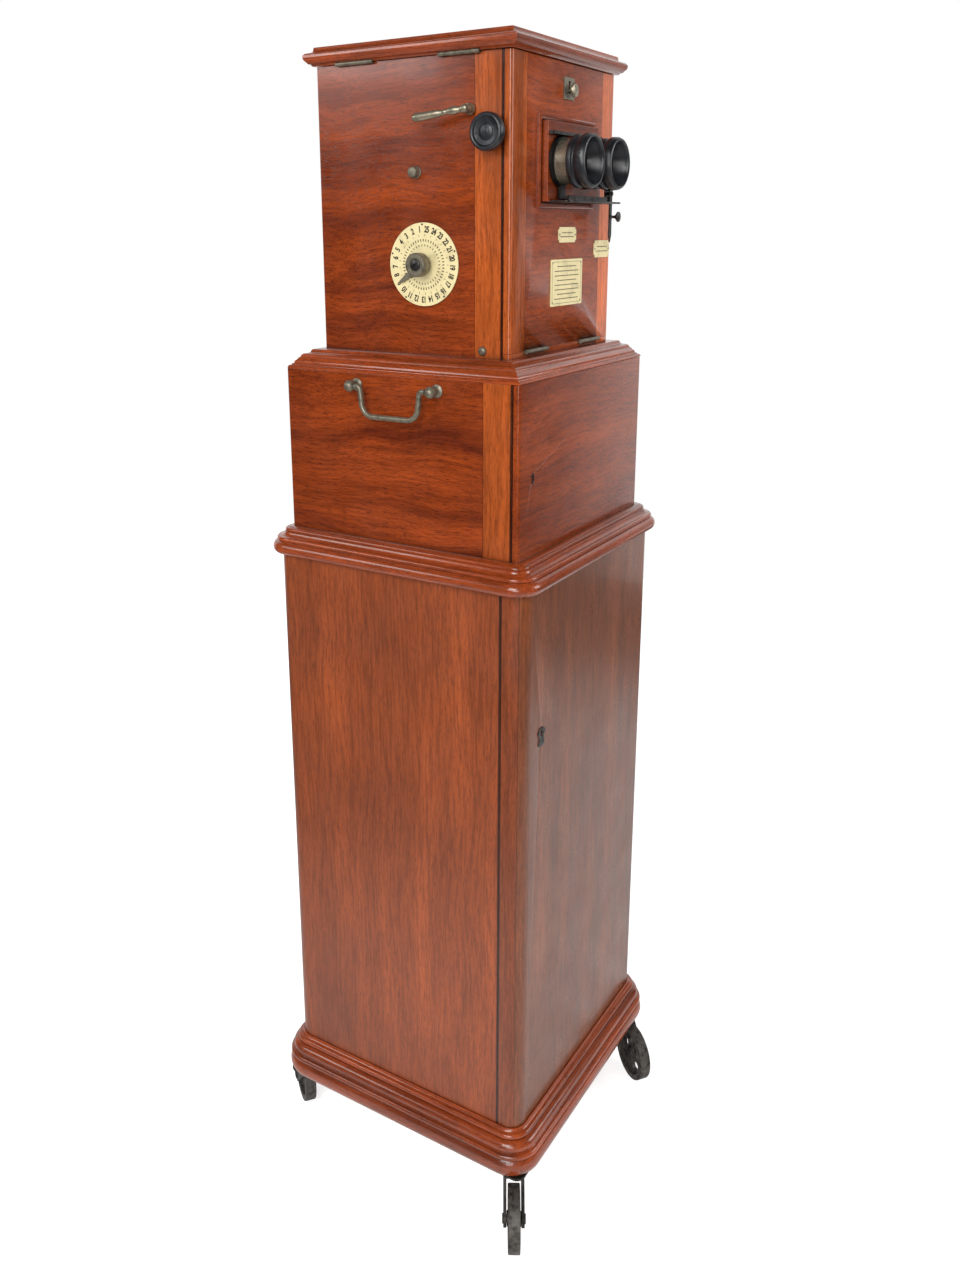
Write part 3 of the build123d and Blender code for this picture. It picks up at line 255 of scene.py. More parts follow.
def worn(tree, tone, light, dirt_and_shade, edge=0.0012, reach=0.010):
    """Edges rubbed lighter, and corners darkened by ambient occlusion: painted shade, standing also for wax
    and dust gathered there.
    """
    rounded = node(tree, "ShaderNodeBevel", {"Radius": edge}, samples=4)
    flat = node(tree, "ShaderNodeNewGeometry").outputs["Normal"]
    bend = node(tree, "ShaderNodeVectorMath", {0: rounded, 1: flat}, operation="DOT_PRODUCT")
    rub = node(tree, RANGE, {
        "Value": bend, "From Min": 0.995, "From Max": 0.86, "To Min": 0, "To Max": 0.55})
    tone = node(tree, MIX, {0: rub, 6: tone, 7: light}, data_type="RGBA")
    # Painted shade: the ambient occlusion darkens the colour in corners and crevices.
    corner = node(tree, "ShaderNodeAmbientOcclusion", {"Distance": reach}, samples=4)
    shade = node(tree, RANGE, {
        "Value": corner.outputs["AO"], "From Min": 0.25, "From Max": 0.8, "To Min": 0.75, "To Max": 0})
    return node(tree, MIX, {0: shade, 6: tone, 7: dirt_and_shade}, data_type="RGBA")


STILE_LINE = 0.00035      # half width of the dark glue line beside a stile
SEAM_DARK = 0.0024        # how far the painted shade of a seam's gap spreads from the seam


def mahogany(name, run, mid, dark, stile=None, mitre=None, seams=(), seed=0.0, figure=1.0, gloss=0.15,
             coat=0.25):
    """French-polished mahogany: warm, glossy, with open pores in the polish.

    stile is (axis, [(low, high, brightness), ...], mid tone): upright boards let in.
    mitre is the difference of a frame's half width and half depth, where its
    lengths meet: the grain turns there.  seams are (axis, place) of the joints
    between boards, where both edges are darkened by painted shade for the gap
    between them, but not the faces that meet there.
    """
    tree, place = new_material(name)
    tone, pores = grain(tree, place, run, mid, dark, figure, seed)
    axes = node(tree, SPLIT, {"Vector": place}).outputs
    if mitre is not None:
        turned = grain(tree, place, "Y", mid, dark, figure, seed + 5)[0]
        across, along = (node(tree, MATH, {0: axes[axis]}, operation="ABSOLUTE") for axis in "XY")
        reach = node(tree, MATH, {0: across, 1: along}, operation="SUBTRACT")
        beside = node(tree, MATH, {0: reach, 1: mitre}, operation="GREATER_THAN")
        tone = node(tree, MIX, {0: beside, 6: tone, 7: turned}, data_type="RGBA")
    if stile:
        axis, spans, stile_mid = stile
        for low, high, lift in spans:
            lifted = dimmed(stile_mid, lift)
            upright = grain(tree, place, "Z", lifted, dimmed(lifted, 0.62), 0.3, seed + 3 + low * 9)[0]
            inside = node(tree, MATH, {0: axes[axis], 1: (low + high) / 2, 2: (high - low) / 2},
                          operation="COMPARE")
            tone = node(tree, MIX, {0: inside, 6: tone, 7: upright}, data_type="RGBA")
            for edge in (low, high):
                line = node(tree, MATH, {0: axes[axis], 1: edge, 2: STILE_LINE}, operation="COMPARE")
                line = node(tree, MATH, {0: line, 1: 0.75}, operation="MULTIPLY")
                tone = node(tree, MIX, {0: line, 6: tone, 7: scaled(dark, 0.35)}, data_type="RGBA")
    # Rubbed edges, and painted shade in the corners and crevices.
    tone = worn(tree, tone, scaled(mid, 1.55), scaled(dark, 0.22))
    # Painted shade: the edges beside each seam are darkened for the shadow in the gap between the boards.
    for axis, position in seams:
        away = node(tree, MATH, {0: axes[axis], 1: position}, operation="SUBTRACT")
        away = node(tree, MATH, {0: away}, operation="ABSOLUTE")
        black = node(tree, RANGE, {
            "Value": away, "From Min": SEAM_DARK * 0.5, "From Max": SEAM_DARK, "To Min": 0.94, "To Max": 0})
        facing = node(tree, "ShaderNodeTexCoord").outputs["Normal"]
        facing = node(tree, SPLIT, {"Vector": facing}).outputs[axis]
        facing = node(tree, MATH, {0: facing}, operation="ABSOLUTE")
        edge_on = node(tree, MATH, {0: facing, 1: 0.7}, operation="LESS_THAN")
        gap_shade = node(tree, MATH, {0: black, 1: edge_on}, operation="MULTIPLY")
        tone = node(tree, MIX, {0: gap_shade, 6: tone, 7: scaled(dark, 0.06)}, data_type="RGBA")
    smear = node(tree, NOISE, {"Vector": place, "Scale": 22, "Detail": 4})
    sunk = node(tree, MATH, {0: pores, 1: -1.0}, operation="MULTIPLY")
    surface(tree, {
        "Base Color": tone, "Roughness": from_noise(tree, smear, gloss, gloss + 0.12), "IOR": 1.5,
        "Coat Weight": coat, "Coat Roughness": 0.07, "Normal": dented(tree, sunk, 0.10, 0.0003)})


def bare_wood(name, mid):
    """Unpolished carcase wood: pale, dull and dry."""
    tree, place = new_material(name)
    tone, pores = grain(tree, place, "X", mid, dimmed(mid, 0.55), 0.6, 9)
    sunk = node(tree, MATH, {0: pores, 1: -1.0}, operation="MULTIPLY")
    surface(tree, {"Base Color": tone, "Roughness": 0.72, "Normal": dented(tree, sunk, 0.25, 0.0003)})


def metal(name, mid, dark, rough, metallic=1.0, speckle=900, relief=0.12, flange=None):
    """Handled metal: the plate is rubbed bright on edges, and darkened in the corners by painted shade.

    flange is (colour, X of the tube's axis on either side, its Z, radius): past
    that radius the eyepiece's flange and links are blackened.
    """
    tree, place = new_material(name)
    stain = node(tree, NOISE, {"Vector": place, "Scale": 130, "Detail": 5, "Roughness": 0.6})
    tone = node(tree, RAMP, {"Fac": stain}, [
        (0.34, rgba(dark)), (0.52, rgba(mid)), (0.75, scaled(mid, 1.15))])
    # Rubbed edges, and painted shade in the corners.
    tone = worn(tree, tone, scaled(mid, 1.4), scaled(dark, 0.3), 0.0005, 0.004)
    if flange:
        black, axis_x, axis_z, radius = flange
        axes = node(tree, SPLIT, {"Vector": place}).outputs
        across = node(tree, MATH, {0: axes["X"]}, operation="ABSOLUTE")
        across = node(tree, MATH, {0: across, 1: axis_x}, operation="SUBTRACT")
        up = node(tree, MATH, {0: axes["Z"], 1: axis_z}, operation="SUBTRACT")
        across, up = (node(tree, MATH, {0: side, 1: side}, operation="MULTIPLY") for side in (across, up))
        reach = node(tree, MATH, {0: across, 1: up}, operation="ADD")
        reach = node(tree, MATH, {0: reach}, operation="SQRT")
        outside = node(tree, MATH, {0: reach, 1: radius}, operation="GREATER_THAN")
        tone = node(tree, MIX, {0: outside, 6: tone, 7: rgba(black)}, data_type="RGBA")
    pits = node(tree, NOISE, {"Vector": place, "Scale": speckle, "Detail": 3})
    surface(tree, {
        "Base Color": tone, "Metallic": metallic, "Roughness": from_noise(tree, stain, rough + 0.16, rough),
        "Normal": dented(tree, pits, relief, 0.0004)})


def ebonite(name):
    """Turned hard rubber: black, faintly brown where light has aged it, softly shining."""
    tree, place = new_material(name)
    bloom, tone = stained(tree, place, 90, 4, [
        (0.35, rgba(linear("#121317"))), (0.7, rgba(linear("#25262b")))])
    # Rubbed edges, and painted shade in the hollows.
    tone = worn(tree, tone, rgba(linear("#55565c")), rgba(linear("#08080a")), 0.0008, 0.004)
    surface(tree, {"Base Color": tone, "Roughness": from_noise(tree, bloom, 0.30, 0.46), "IOR": 1.6})


def ivory(name, mid):
    """Enamelled ivory-coloured plate: smooth, with age stains."""
    tree, place = new_material(name)
    stain = node(tree, NOISE, {"Vector": place, "Scale": 75, "Detail": 5, "Roughness": 0.6})
    tone = node(tree, RAMP, {"Fac": stain}, [
        (0.28, scaled(mid, 0.72)), (0.45, rgba(mid)), (0.75, scaled(mid, 1.10))])
    # Rubbed edges, and painted shade in the hollows.
    tone = worn(tree, tone, scaled(mid, 1.1), scaled(mid, 0.3), 0.0004, 0.003)
    surface(tree, {"Base Color": tone, "Roughness": 0.38, "IOR": 1.5})


def printing_ink(name, tone):
    """Black printing ink on the plates: flat, a little worn."""
    tree, place = new_material(name)
    tinted = stained(tree, place, 800, 3, [(0.5, rgba(tone)), (0.8, scaled(tone, 3.5))])[1]
    surface(tree, {"Base Color": tinted, "Roughness": 0.55})


def glass(name, clear, rough):
    """Optical glass, or the same ground matt on one face: faintly dusty."""
    tree, place = new_material(name)
    tone = stained(tree, place, 240, 4, [(0.4, (0.93, 0.96, 0.95, 1)), (0.7, (0.80, 0.83, 0.81, 1))])[1]
    surface(tree, {"Base Color": tone, "Transmission Weight": clear, "Roughness": rough, "IOR": 1.52})



# ---- meshes ---------------------------------------------------------------
def in_scene(name, data):
    """A new object at the origin."""
    made = bpy.data.objects.new(name, data)
    bpy.context.scene.collection.objects.link(made)
    return made


def make_piece(name, mesh, material, body):
    """A new object at the origin that rides on a CAD body."""
    piece = in_scene(name, mesh)
    if not piece.data.materials:
        piece.data.materials.append(material)
    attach(piece, body)
    return piece


def mesh_of(name, form):
    """A mesh made of a form, which is then done with."""
    mesh = bpy.data.meshes.new(name)
    form.to_mesh(mesh)
    form.free()
    return mesh


def smooth(mesh, angle=32):
    """Shades a mesh smoothly, but for its edges sharper than the angle."""
    for polygon in mesh.polygons:
        polygon.use_smooth = True
    mesh.set_sharp_from_angle(angle=math.radians(angle))
    return mesh


def merged_copy(cad):
    """A CAD node's mesh with its triangles joined into flat faces."""
    form = bmesh.new()
    form.from_mesh(NODES[cad].data)
    bmesh.ops.remove_doubles(form, verts=form.verts, dist=2e-6)
    bmesh.ops.dissolve_limit(form, angle_limit=math.radians(0.6), verts=form.verts, edges=form.edges)
    return form


def finish_node(cad, material, arris=0.0):
    """Stands in for a CAD node: the same shape, shaded smoothly, with its arrises eased."""
    mesh = smooth(mesh_of(cad + "_finished", merged_copy(cad)))
    piece = make_piece(mesh.name, mesh, material, NODES[cad]["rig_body"])
    if arris:
        ease = piece.modifiers.new("Eased edges", "BEVEL")
        ease.width = arris
        ease.segments = 2
        ease.limit_method = "ANGLE"
        ease.angle_limit = math.radians(40)
        ease.harden_normals = True
    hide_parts(cad)
    return piece


def evaluated_mesh(scratch):
    """The plain mesh that a modified object makes; the scratch object is removed."""
    bpy.context.view_layer.update()
    graph = bpy.context.evaluated_depsgraph_get()
    mesh = bpy.data.meshes.new_from_object(scratch.evaluated_get(graph))
    bpy.data.objects.remove(scratch)
    return mesh


def box_in(form, low, high):
    """Adds a box between two corners to a bmesh."""
    size = [b - a for a, b in zip(low, high)]
    middle = [(a + b) / 2 for a, b in zip(low, high)]
    place = Matrix.Translation(middle) @ Matrix.Diagonal((*size, 1))
    bmesh.ops.create_cube(form, size=1, matrix=place)


def new_group(name, sockets):
    """An empty Geometry Nodes tree, and its inputs' identifiers by name."""
    tree = bpy.data.node_groups.new(name, "GeometryNodeTree")
    identifiers = {}
    for label, kind, value in sockets:
        socket = tree.interface.new_socket(label, in_out="INPUT", socket_type="NodeSocket" + kind)
        if value is not None:
            socket.default_value = value
        identifiers[label] = socket.identifier
    tree.interface.new_socket("Geometry", in_out="OUTPUT", socket_type="NodeSocketGeometry")
    return tree, identifiers


def copies_on(tree, points, copy, turn, material):
    """Ends a tree with a turned copy on every point, made real, in its material."""
    turned = node(tree, "FunctionNodeEulerToRotation", {"Euler": turn})
    placed = node(tree, "GeometryNodeInstanceOnPoints", {
        "Points": points, "Instance": copy, "Rotation": turned})
    real = node(tree, "GeometryNodeRealizeInstances", {"Geometry": placed})
    finished = node(tree, "GeometryNodeSetMaterial", {"Geometry": real, "Material": material})
    node(tree, "NodeGroupOutput", {"Geometry": finished})


def grown(name, start, group, values):
    """The plain mesh that a Geometry Nodes tree makes of a starting mesh."""
    tree, identifiers = group
    scratch = in_scene(name + "_scratch", start)
    modifier = scratch.modifiers.new(tree.name, "NODES")
    modifier.node_group = tree
    for label, value in values.items():
        modifier[identifiers[label]] = value
    made = evaluated_mesh(scratch)
    made.name = name
    return made


def screw_group():
    """A slotted, domed screw head on every point of the mesh."""
    tree, identifiers = new_group("Slotted screws", (
        ("Geometry", "Geometry", None), ("Head radius", "Float", 0.0023), ("Head height", "Float", 0.0007),
        ("Slot width", "Float", 0.0006), ("Material", "Material", None)))
    given = node(tree, "NodeGroupInput").outputs
    radius, height = given["Head radius"], given["Head height"]
    head = node(tree, "GeometryNodeMeshUVSphere", {"Segments": 20, "Rings": 10, "Radius": radius})
    squash = node(tree, MATH, {0: height, 1: radius}, operation="DIVIDE")
    flat = node(tree, "ShaderNodeCombineXYZ", {"X": 1.0, "Y": 1.0, "Z": squash})
    dome = node(tree, "GeometryNodeTransform", {"Geometry": head.outputs["Mesh"], "Scale": flat})
    deep = node(tree, MATH, {0: height, 1: 2.0}, operation="MULTIPLY")
    across = node(tree, MATH, {0: radius, 1: 2.6}, operation="MULTIPLY")
    slot = node(tree, "ShaderNodeCombineXYZ", {"X": across, "Y": given["Slot width"], "Z": deep})
    cutter = node(tree, "GeometryNodeMeshCube", {"Size": slot})
    up = node(tree, MATH, {0: deep, 1: 0.72}, operation="MULTIPLY")
    raised = node(tree, "ShaderNodeCombineXYZ", {"Z": up})
    lifted = node(tree, "GeometryNodeTransform", {"Geometry": cutter.outputs["Mesh"], "Translation": raised})
    cut = node(tree, "GeometryNodeMeshBoolean", {"Mesh 1": dome, "Mesh 2": lifted}, operation="DIFFERENCE")
    turn = node(tree, "GeometryNodeInputNamedAttribute", {"Name": "turn"}, data_type="FLOAT_VECTOR")
    copies_on(tree, given["Geometry"], cut.outputs["Mesh"], turn.outputs["Attribute"], given["Material"])
    return tree, identifiers


def screws(name, places, material, body, radius, height, width):
    """Screw heads at (point, outward direction, slot angle) places, as one mesh."""
    mesh = bpy.data.meshes.new(name + "_points")
    mesh.from_pydata([tuple(point) for point, out, angle in places], [], [])
    turn = mesh.attributes.new("turn", "FLOAT_VECTOR", "POINT")
    for value, (point, out, angle) in zip(turn.data, places):
        upright = Vector(out).to_track_quat("Z", "Y") @ Matrix.Rotation(angle, 3, "Z").to_quaternion()
        value.vector = tuple(upright.to_euler("XYZ"))
    made = grown(name, mesh, screw_group(), {
        "Head radius": radius, "Head height": height, "Slot width": width, "Material": material})
    return make_piece(name, smooth(made, 35), material, body)


def ring_group():
    """Short bars round a circle, each pointing at its middle."""
    tree, identifiers = new_group("Ring of marks", (
        ("Radius", "Float", 0.03), ("Count", "Int", 25), ("Mark size", "Vector", (0.002, 0.0004, 0.0002)),
        ("Material", "Material", None)))
    given = node(tree, "NodeGroupInput").outputs
    points = node(tree, "GeometryNodeMeshCircle", {"Vertices": given["Count"], "Radius": given["Radius"]})
    mark = node(tree, "GeometryNodeMeshCube", {"Size": given["Mark size"]})
    step = node(tree, MATH, {0: math.tau, 1: given["Count"]}, operation="DIVIDE")
    angle = node(tree, MATH, {0: node(tree, "GeometryNodeInputIndex"), 1: step}, operation="MULTIPLY")
    turn = node(tree, "ShaderNodeCombineXYZ", {"Z": angle})
    copies_on(tree, points, mark.outputs["Mesh"], turn, given["Material"])
    return tree, identifiers


def ring_of_marks(name, radius, count, size, place, material, body):
    """Bars round a circle, in the plane whose X, Y and Z are place's columns."""
    made = grown(name, bpy.data.meshes.new(name + "_start"), ring_group(), {
        "Radius": radius, "Count": count, "Mark size": size, "Material": material})
    made.transform(place)
    return make_piece(name, made, material, body)


def looped(name, loops, material, body):
    """Equal loops of points joined in order, and the last to the first."""
    form = bmesh.new()
    rows = [[form.verts.new(point) for point in loop] for loop in loops]
    count = len(rows[0])
    for one, two in zip(rows, rows[1:] + rows[:1]):
        for k in range(count):
            after = (k + 1) % count
            form.faces.new((one[k], one[after], two[after], two[k]))
    bmesh.ops.recalc_face_normals(form, faces=form.faces)
    return make_piece(name, smooth(mesh_of(name, form)), material, body)


def island_boxes(cad):
    """The box of each separate solid in a CAD node."""
    form = merged_copy(cad)
    left = set(form.verts)
    boxes = []
    while left:
        reached = [left.pop()]
        found = list(reached)
        while reached:
            for edge in reached.pop().link_edges:
                for vert in edge.verts:
                    if vert in left:
                        left.discard(vert)
                        reached.append(vert)
                        found.append(vert)
        low = Vector([min(v.co[k] for v in found) for k in range(3)])
        high = Vector([max(v.co[k] for v in found) for k in range(3)])
        boxes.append((low, high))
    form.free()
    return sorted(boxes, key=lambda corners: tuple(corners[0]))


def facing_left(point):
    """A plane seen from -X: X to the viewer's right, Y up, Z towards the viewer."""
    return Matrix(((0, 0, -1, point.x), (-1, 0, 0, point.y), (0, 1, 0, point.z), (0, 0, 0, 1)))


def material_named(name):
    return bpy.data.materials[name]


# ---- the pieces -----------------------------------------------------------
HEAD_STILE_Y = -0.081     # back edges of the front stiles, as seen from the side
MIDDLE_STILE_Y = -0.1125
HEAD_STILE_X = 0.092      # inner edges of the drop door's two stiles
HEAD_SEAM_Y = -0.115      # planes in which the doors meet the boxes behind them
MIDDLE_SEAM_Y = -0.148
COLUMN_SEAM_Y = -0.1445
COLUMN_STILE = (-0.1655, -0.1430, 0.85)     # the column door's own thickness, and its brightness
PAST_EDGE = 0.130         # beyond a head panel's own edge
FRAME_MITRE = 0.003       # half width less half depth of the moulded frames
TUBE_WALL = 0.0062        # from the lens's rim to the outside of its tube
LEFT, FRONT, DOWN = (-1, 0, 0), (0, -1, 0), (0, 0, -1)


class VIEWER_OT_finishes(bpy.types.Operator):
    """Make every finish: polished mahogany, nickel, brass, iron, hard rubber, ivory and glass"""

    bl_idname = "viewer.finishes"
    bl_label = "Finishes"

    def execute(self, context):
        wood = context.scene.viewer_wood
        metals = context.scene.viewer_metal
        dial = context.scene.viewer_dial
        side, side_dark, stile = tuple(wood.side), tuple(wood.side_dark), tuple(wood.stile)
        front, front_dark = tuple(wood.front), tuple(wood.front_dark)
        mahogany("Polished mahogany head side", "Y", side, side_dark,
                 ("Y", [(-PAST_EDGE, HEAD_STILE_Y, 1.0)], stile), seams=[("Y", HEAD_SEAM_Y)], seed=1)
        mahogany("Polished mahogany middle side", "Y", side, side_dark,
                 ("Y", [(-0.150, MIDDLE_STILE_Y, 0.9)], stile), seams=[("Y", MIDDLE_SEAM_Y)], seed=6,
                 figure=0.9)
        # Painted light: the right stile is made 1.7 times brighter for the brighter light on the right of
        # the drop door.
        mahogany("Polished mahogany drop door", "X", front, front_dark,
                 ("X", [(-PAST_EDGE, -HEAD_STILE_X, 1.0), (HEAD_STILE_X, PAST_EDGE, 1.7)], stile),
                 seams=[("Y", HEAD_SEAM_Y)], seed=2, figure=1.6)
        mahogany("Polished mahogany middle door", "X", dimmed(front, 0.78), front_dark,
                 seams=[("Y", MIDDLE_SEAM_Y)], seed=12)
        column, door = tuple(wood.column), tuple(wood.column_door)
        mahogany("Waxed mahogany column side", "Z", column, dimmed(column, 0.84),
                 seams=[("Y", COLUMN_SEAM_Y)], seed=4, figure=0.35, gloss=0.30, coat=0.2)
        mahogany("Waxed mahogany column door", "Z", door, dimmed(door, 0.70),
                 ("Y", [COLUMN_STILE], column),
                 seams=[("Y", COLUMN_SEAM_Y)], seed=8, figure=0.35, gloss=0.24, coat=0.3)
        moulding = tuple(wood.moulding)
        for name, mitre, seed in (("base", FRAME_MITRE, 3), ("waist", FRAME_MITRE, 5),
                                  ("plinth", FRAME_MITRE, 7), ("lid", 0.0, 9)):
            mahogany("Polished mahogany moulding " + name, "X", moulding, dimmed(moulding, 0.42),
                     mitre=mitre, seed=seed, figure=0.4, gloss=0.20, coat=0.5)
        mahogany("Polished mahogany lens box", "X", dimmed(front, 0.85), front_dark, seed=14)
        bare_wood("Unpolished mahogany", tuple(wood.inside))
        nickel, aged, brass = tuple(metals.nickel), tuple(metals.aged), tuple(metals.brass)
        metal("Worn nickel plate", nickel, dimmed(nickel, 0.55), 0.28, 0.8)
        metal("Dull nickel plate", dimmed(aged, 1.25), dimmed(aged, 0.55), 0.36, 0.6)
        metal("Blackened steel", linear("#4c4a48"), linear("#1b1a1a"), 0.30, 0.85)
        metal("Lacquered brass", brass, dimmed(brass, 0.6), 0.26)
        metal("Black cast iron", tuple(metals.iron), dimmed(metals.iron, 0.4), 0.46, 0.55, 420, 0.4)
        metal("Worn wheel iron", linear("#5b5752"), linear("#2a2826"), 0.48, 0.6, 380, 0.5)
        low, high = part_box("lens_left")
        eye = centre((low, high))
        tube = dimmed(aged, 1.5)
        metal("Nickelled eyepiece", tube, dimmed(tube, 0.5), 0.30, 0.75,
              flange=(linear("#2a2928"), abs(eye.x), eye.z, (high.z - low.z) / 2 + TUBE_WALL))
        ebonite("Turned hard rubber")
        ivory("Ivory enamel", tuple(dial.ivory))
        # Painted light: the labels are the dial's ivory made 1.22 times lighter, for the stronger light on
        # the front of the head.
        ivory("Label ivory with painted light", tuple(min(1, v * 1.22) for v in dial.ivory))
        printing_ink("Printing ink", tuple(dial.ink))
        glass("Optical glass", 1.0, 0.03)
        glass("Ground glass", 0.55, 0.6)
        return {"FINISHED"}


class VIEWER_OT_casework(bpy.types.Operator):
    """Finish the boards, doors, mouldings and lid, with sanded edges"""

    bl_idname = "viewer.casework"
    bl_label = "Casework"

    def execute(self, context):
        arris = context.scene.viewer_wood.arris
        for cad, finish, slot, ease in (
                ("head_sides", "Polished mahogany head side", "red_wood", 1.0),
                ("head_back", "Polished mahogany head side", "red_wood", 1.0),
                ("head_door", "Polished mahogany drop door", "front_wood", 0.0),
                ("head_rails", "Polished mahogany drop door", "front_wood", 0.5),
                ("lens_box", "Polished mahogany lens box", "front_wood", 1.0),
                ("middle_sides", "Polished mahogany middle side", "red_wood", 1.0),
                ("middle_door", "Polished mahogany middle door", "front_wood", 0.8),
                ("cabinet_sides", "Waxed mahogany column side", "red_wood", 1.0),
                ("cabinet_door", "Waxed mahogany column door", "front_wood", 1.0),
                ("back_panels", "Waxed mahogany column side", "red_wood", 0.0),
                ("base_moulding", "Polished mahogany moulding base", "moulding_wood", 0.0),
                ("waist_moulding", "Polished mahogany moulding waist", "moulding_wood", 0.0),
                ("plinth_board", "Polished mahogany moulding plinth", "moulding_wood", 0.6),
                ("lid_panel", "Polished mahogany moulding lid", "moulding_wood", 0.6)):
            finish_node(cad, material_named(finish), arris * ease)
        for cad in ("deck_boards", "shelves", "slide_tray"):
            finish_node(cad, material_named("Unpolished mahogany"), arris * 0.5)
        return {"FINISHED"}


class VIEWER_OT_hardware(bpy.types.Operator):
    """Finish the metalwork: casters, bails, hinges, catch, lever, studs and the slide transport"""

    bl_idname = "viewer.hardware"
    bl_label = "Hardware"

    def execute(self, context):
        dull, bright = material_named("Dull nickel plate"), material_named("Worn nickel plate")
        brass, iron = material_named("Lacquered brass"), material_named("Black cast iron")
        for corner in ("front_left", "front_right", "back_left", "back_right"):
            finish_node("caster_fork_" + corner, iron, 0.0005)
            finish_node("caster_wheel_" + corner, material_named("Worn wheel iron"), 0.0010)
        finish_node("caster_plates", iron, 0.0004)
        for cad in ("handle_posts", "bail_left", "bail_right", "catch_plate"):
            finish_node(cad, dull)
        for cad in ("catch_knob", "lift_lever"):
            finish_node(cad, bright, 0.0002)
        for cad in ("side_studs", "dial_knob"):
            finish_node(cad, dull, 0.0002)
        for cad in ("hinge_leaves_and_pins", "lid_leaves", "head_door_leaves", "middle_door_leaves",
                    "cabinet_door_leaves"):
            finish_node(cad, dull)
        for cad in ("dial_shaft", "focus_shaft", "lift_shaft", "focus_rack", "carriage_rails",
                    "slide_carriage", "lifter"):
            finish_node(cad, brass)
        finish_node("slide_gate", material_named("Blackened steel"), 0.0003)
        return {"FINISHED"}


class VIEWER_OT_optics(bpy.types.Operator):
    """Finish the eyepieces, eyecups, lenses, spacing lever, focus knob and glass"""

    bl_idname = "viewer.optics"
    bl_label = "Optics"

    def execute(self, context):
        rubber, steel = material_named("Turned hard rubber"), material_named("Blackened steel")
        for side in ("left", "right"):
            finish_node("eyecup_" + side, rubber, 0.0003)
            finish_node("eyepiece_" + side, material_named("Nickelled eyepiece"), 0.0002)
            finish_node("lens_" + side, material_named("Optical glass"))
        finish_node("eyepiece_bridge", steel, 0.0003)
        finish_node("spacing_lever", steel, 0.0002)
        finish_node("focus_knob", rubber, 0.0003)
        middle = centre(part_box("focus_knob"))
        spot = (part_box("focus_shaft")[0].x - 0.0002, middle.y, middle.z)
        screws("focus_knob_screw", [(spot, LEFT, 0.9)], rubber, "focus", 0.0046, 0.0012, 0.0011)
        finish_node("ground_glass", material_named("Ground glass"))
        finish_node("glass_slide", material_named("Optical glass"))
        return {"FINISHED"}


BOX_GAP = 0.0009          # between the lens box and its frame


class VIEWER_OT_lens_frame(bpy.types.Operator):
    """Bead round the opening that the lens box slides in"""

    bl_idname = "viewer.lens_frame"
    bl_label = "Lens frame"

    def execute(self, context):
        low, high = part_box("lens_box")
        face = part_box("head_door")[0].y
        profile = [(0, -0.0002), (0, 0.0016), (0.0006, 0.0024), (0.0014, 0.0024), (0.0018, 0.0032),
                   (0.0028, 0.0036), (0.0046, 0.0034), (0.0056, 0.0026), (0.0060, 0.0014), (0.0060, -0.0002)]
        loops = []
        for out, up in profile:
            out += BOX_GAP
            x0, x1, z0, z1 = low.x - out, high.x + out, low.z - out, high.z + out
            y = face - up
            loops.append([(x0, y, z0), (x1, y, z0), (x1, y, z1), (x0, y, z1)])
        looped("lens_frame_bead", loops, material_named("Polished mahogany lens box"), "head_front")
        return {"FINISHED"}


class VIEWER_OT_dial(bpy.types.Operator):
    """Ivory dial with plain numbers, a tick for every slot, rim pins and the knob's screw"""

    bl_idname = "viewer.dial"
    bl_label = "Dial"

    def execute(self, context):
        settings = context.scene.viewer_dial
        ink = material_named("Printing ink")
        finish_node("dial_plate", material_named("Ivory enamel"), 0.0002)
        plane = facing_left(Vector((DIAL_LOW.x, DIAL.y, DIAL.z)))
        form = bmesh.new()
        step = math.tau / settings.count
        for number in range(1, settings.count + 1):
            curve = bpy.data.curves.new("digit", "FONT")
            curve.body = str(number)
            curve.size = settings.digit * 1.42
            curve.align_x = curve.align_y = "CENTER"
            curve.space_character = 0.86
            curve.offset = 0.00030
            curve.extrude = 0.00008
            curve.resolution_u = 3
            digits = evaluated_mesh(in_scene("digit", curve))
            angle = step * (number - 0.5)
            turn = Matrix.Rotation(angle, 4, "Z") @ Matrix.Translation((0, settings.ring, 0.00005))
            digits.transform(plane @ turn @ Matrix.Diagonal((0.74, 1, 1, 1)))
            form.from_mesh(digits)
            bpy.data.meshes.remove(digits)
        make_piece("dial_numbers", mesh_of("dial_numbers", form), ink, "cabinet")
        for name, share, count, size in (
                ("dial_ticks", 0.70, settings.count, (0.0024, 0.0004, 0.0002)),
                ("dial_inner_marks", 0.58, 48, (0.0026, 0.0010, 0.0002)),
                ("dial_inmost_marks", 0.46, 34, (0.0021, 0.0009, 0.0002))):
            ring_of_marks(name, DIAL_RADIUS * share, count, size, plane, ink, "cabinet")
        pins = []
        rim = DIAL_RADIUS * 0.955
        for k in range(5):
            angle = math.radians(20 + 72 * k)
            spot = plane @ Vector((rim * math.cos(angle), rim * math.sin(angle), 0))
            pins.append((spot, LEFT, angle))
        screws("dial_pins", pins, ink, "cabinet", 0.0011, 0.0005, 0.0002)
        spot = (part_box("dial_shaft")[0].x - 0.0001, DIAL.y, DIAL.z)
        screws("dial_knob_screw", [(spot, LEFT, 0.6)], material_named("Blackened steel"), "selector",
               0.0066, 0.0016, 0.0013)
        return {"FINISHED"}


RULE = 0.00035            # thickness of the large plate's border line


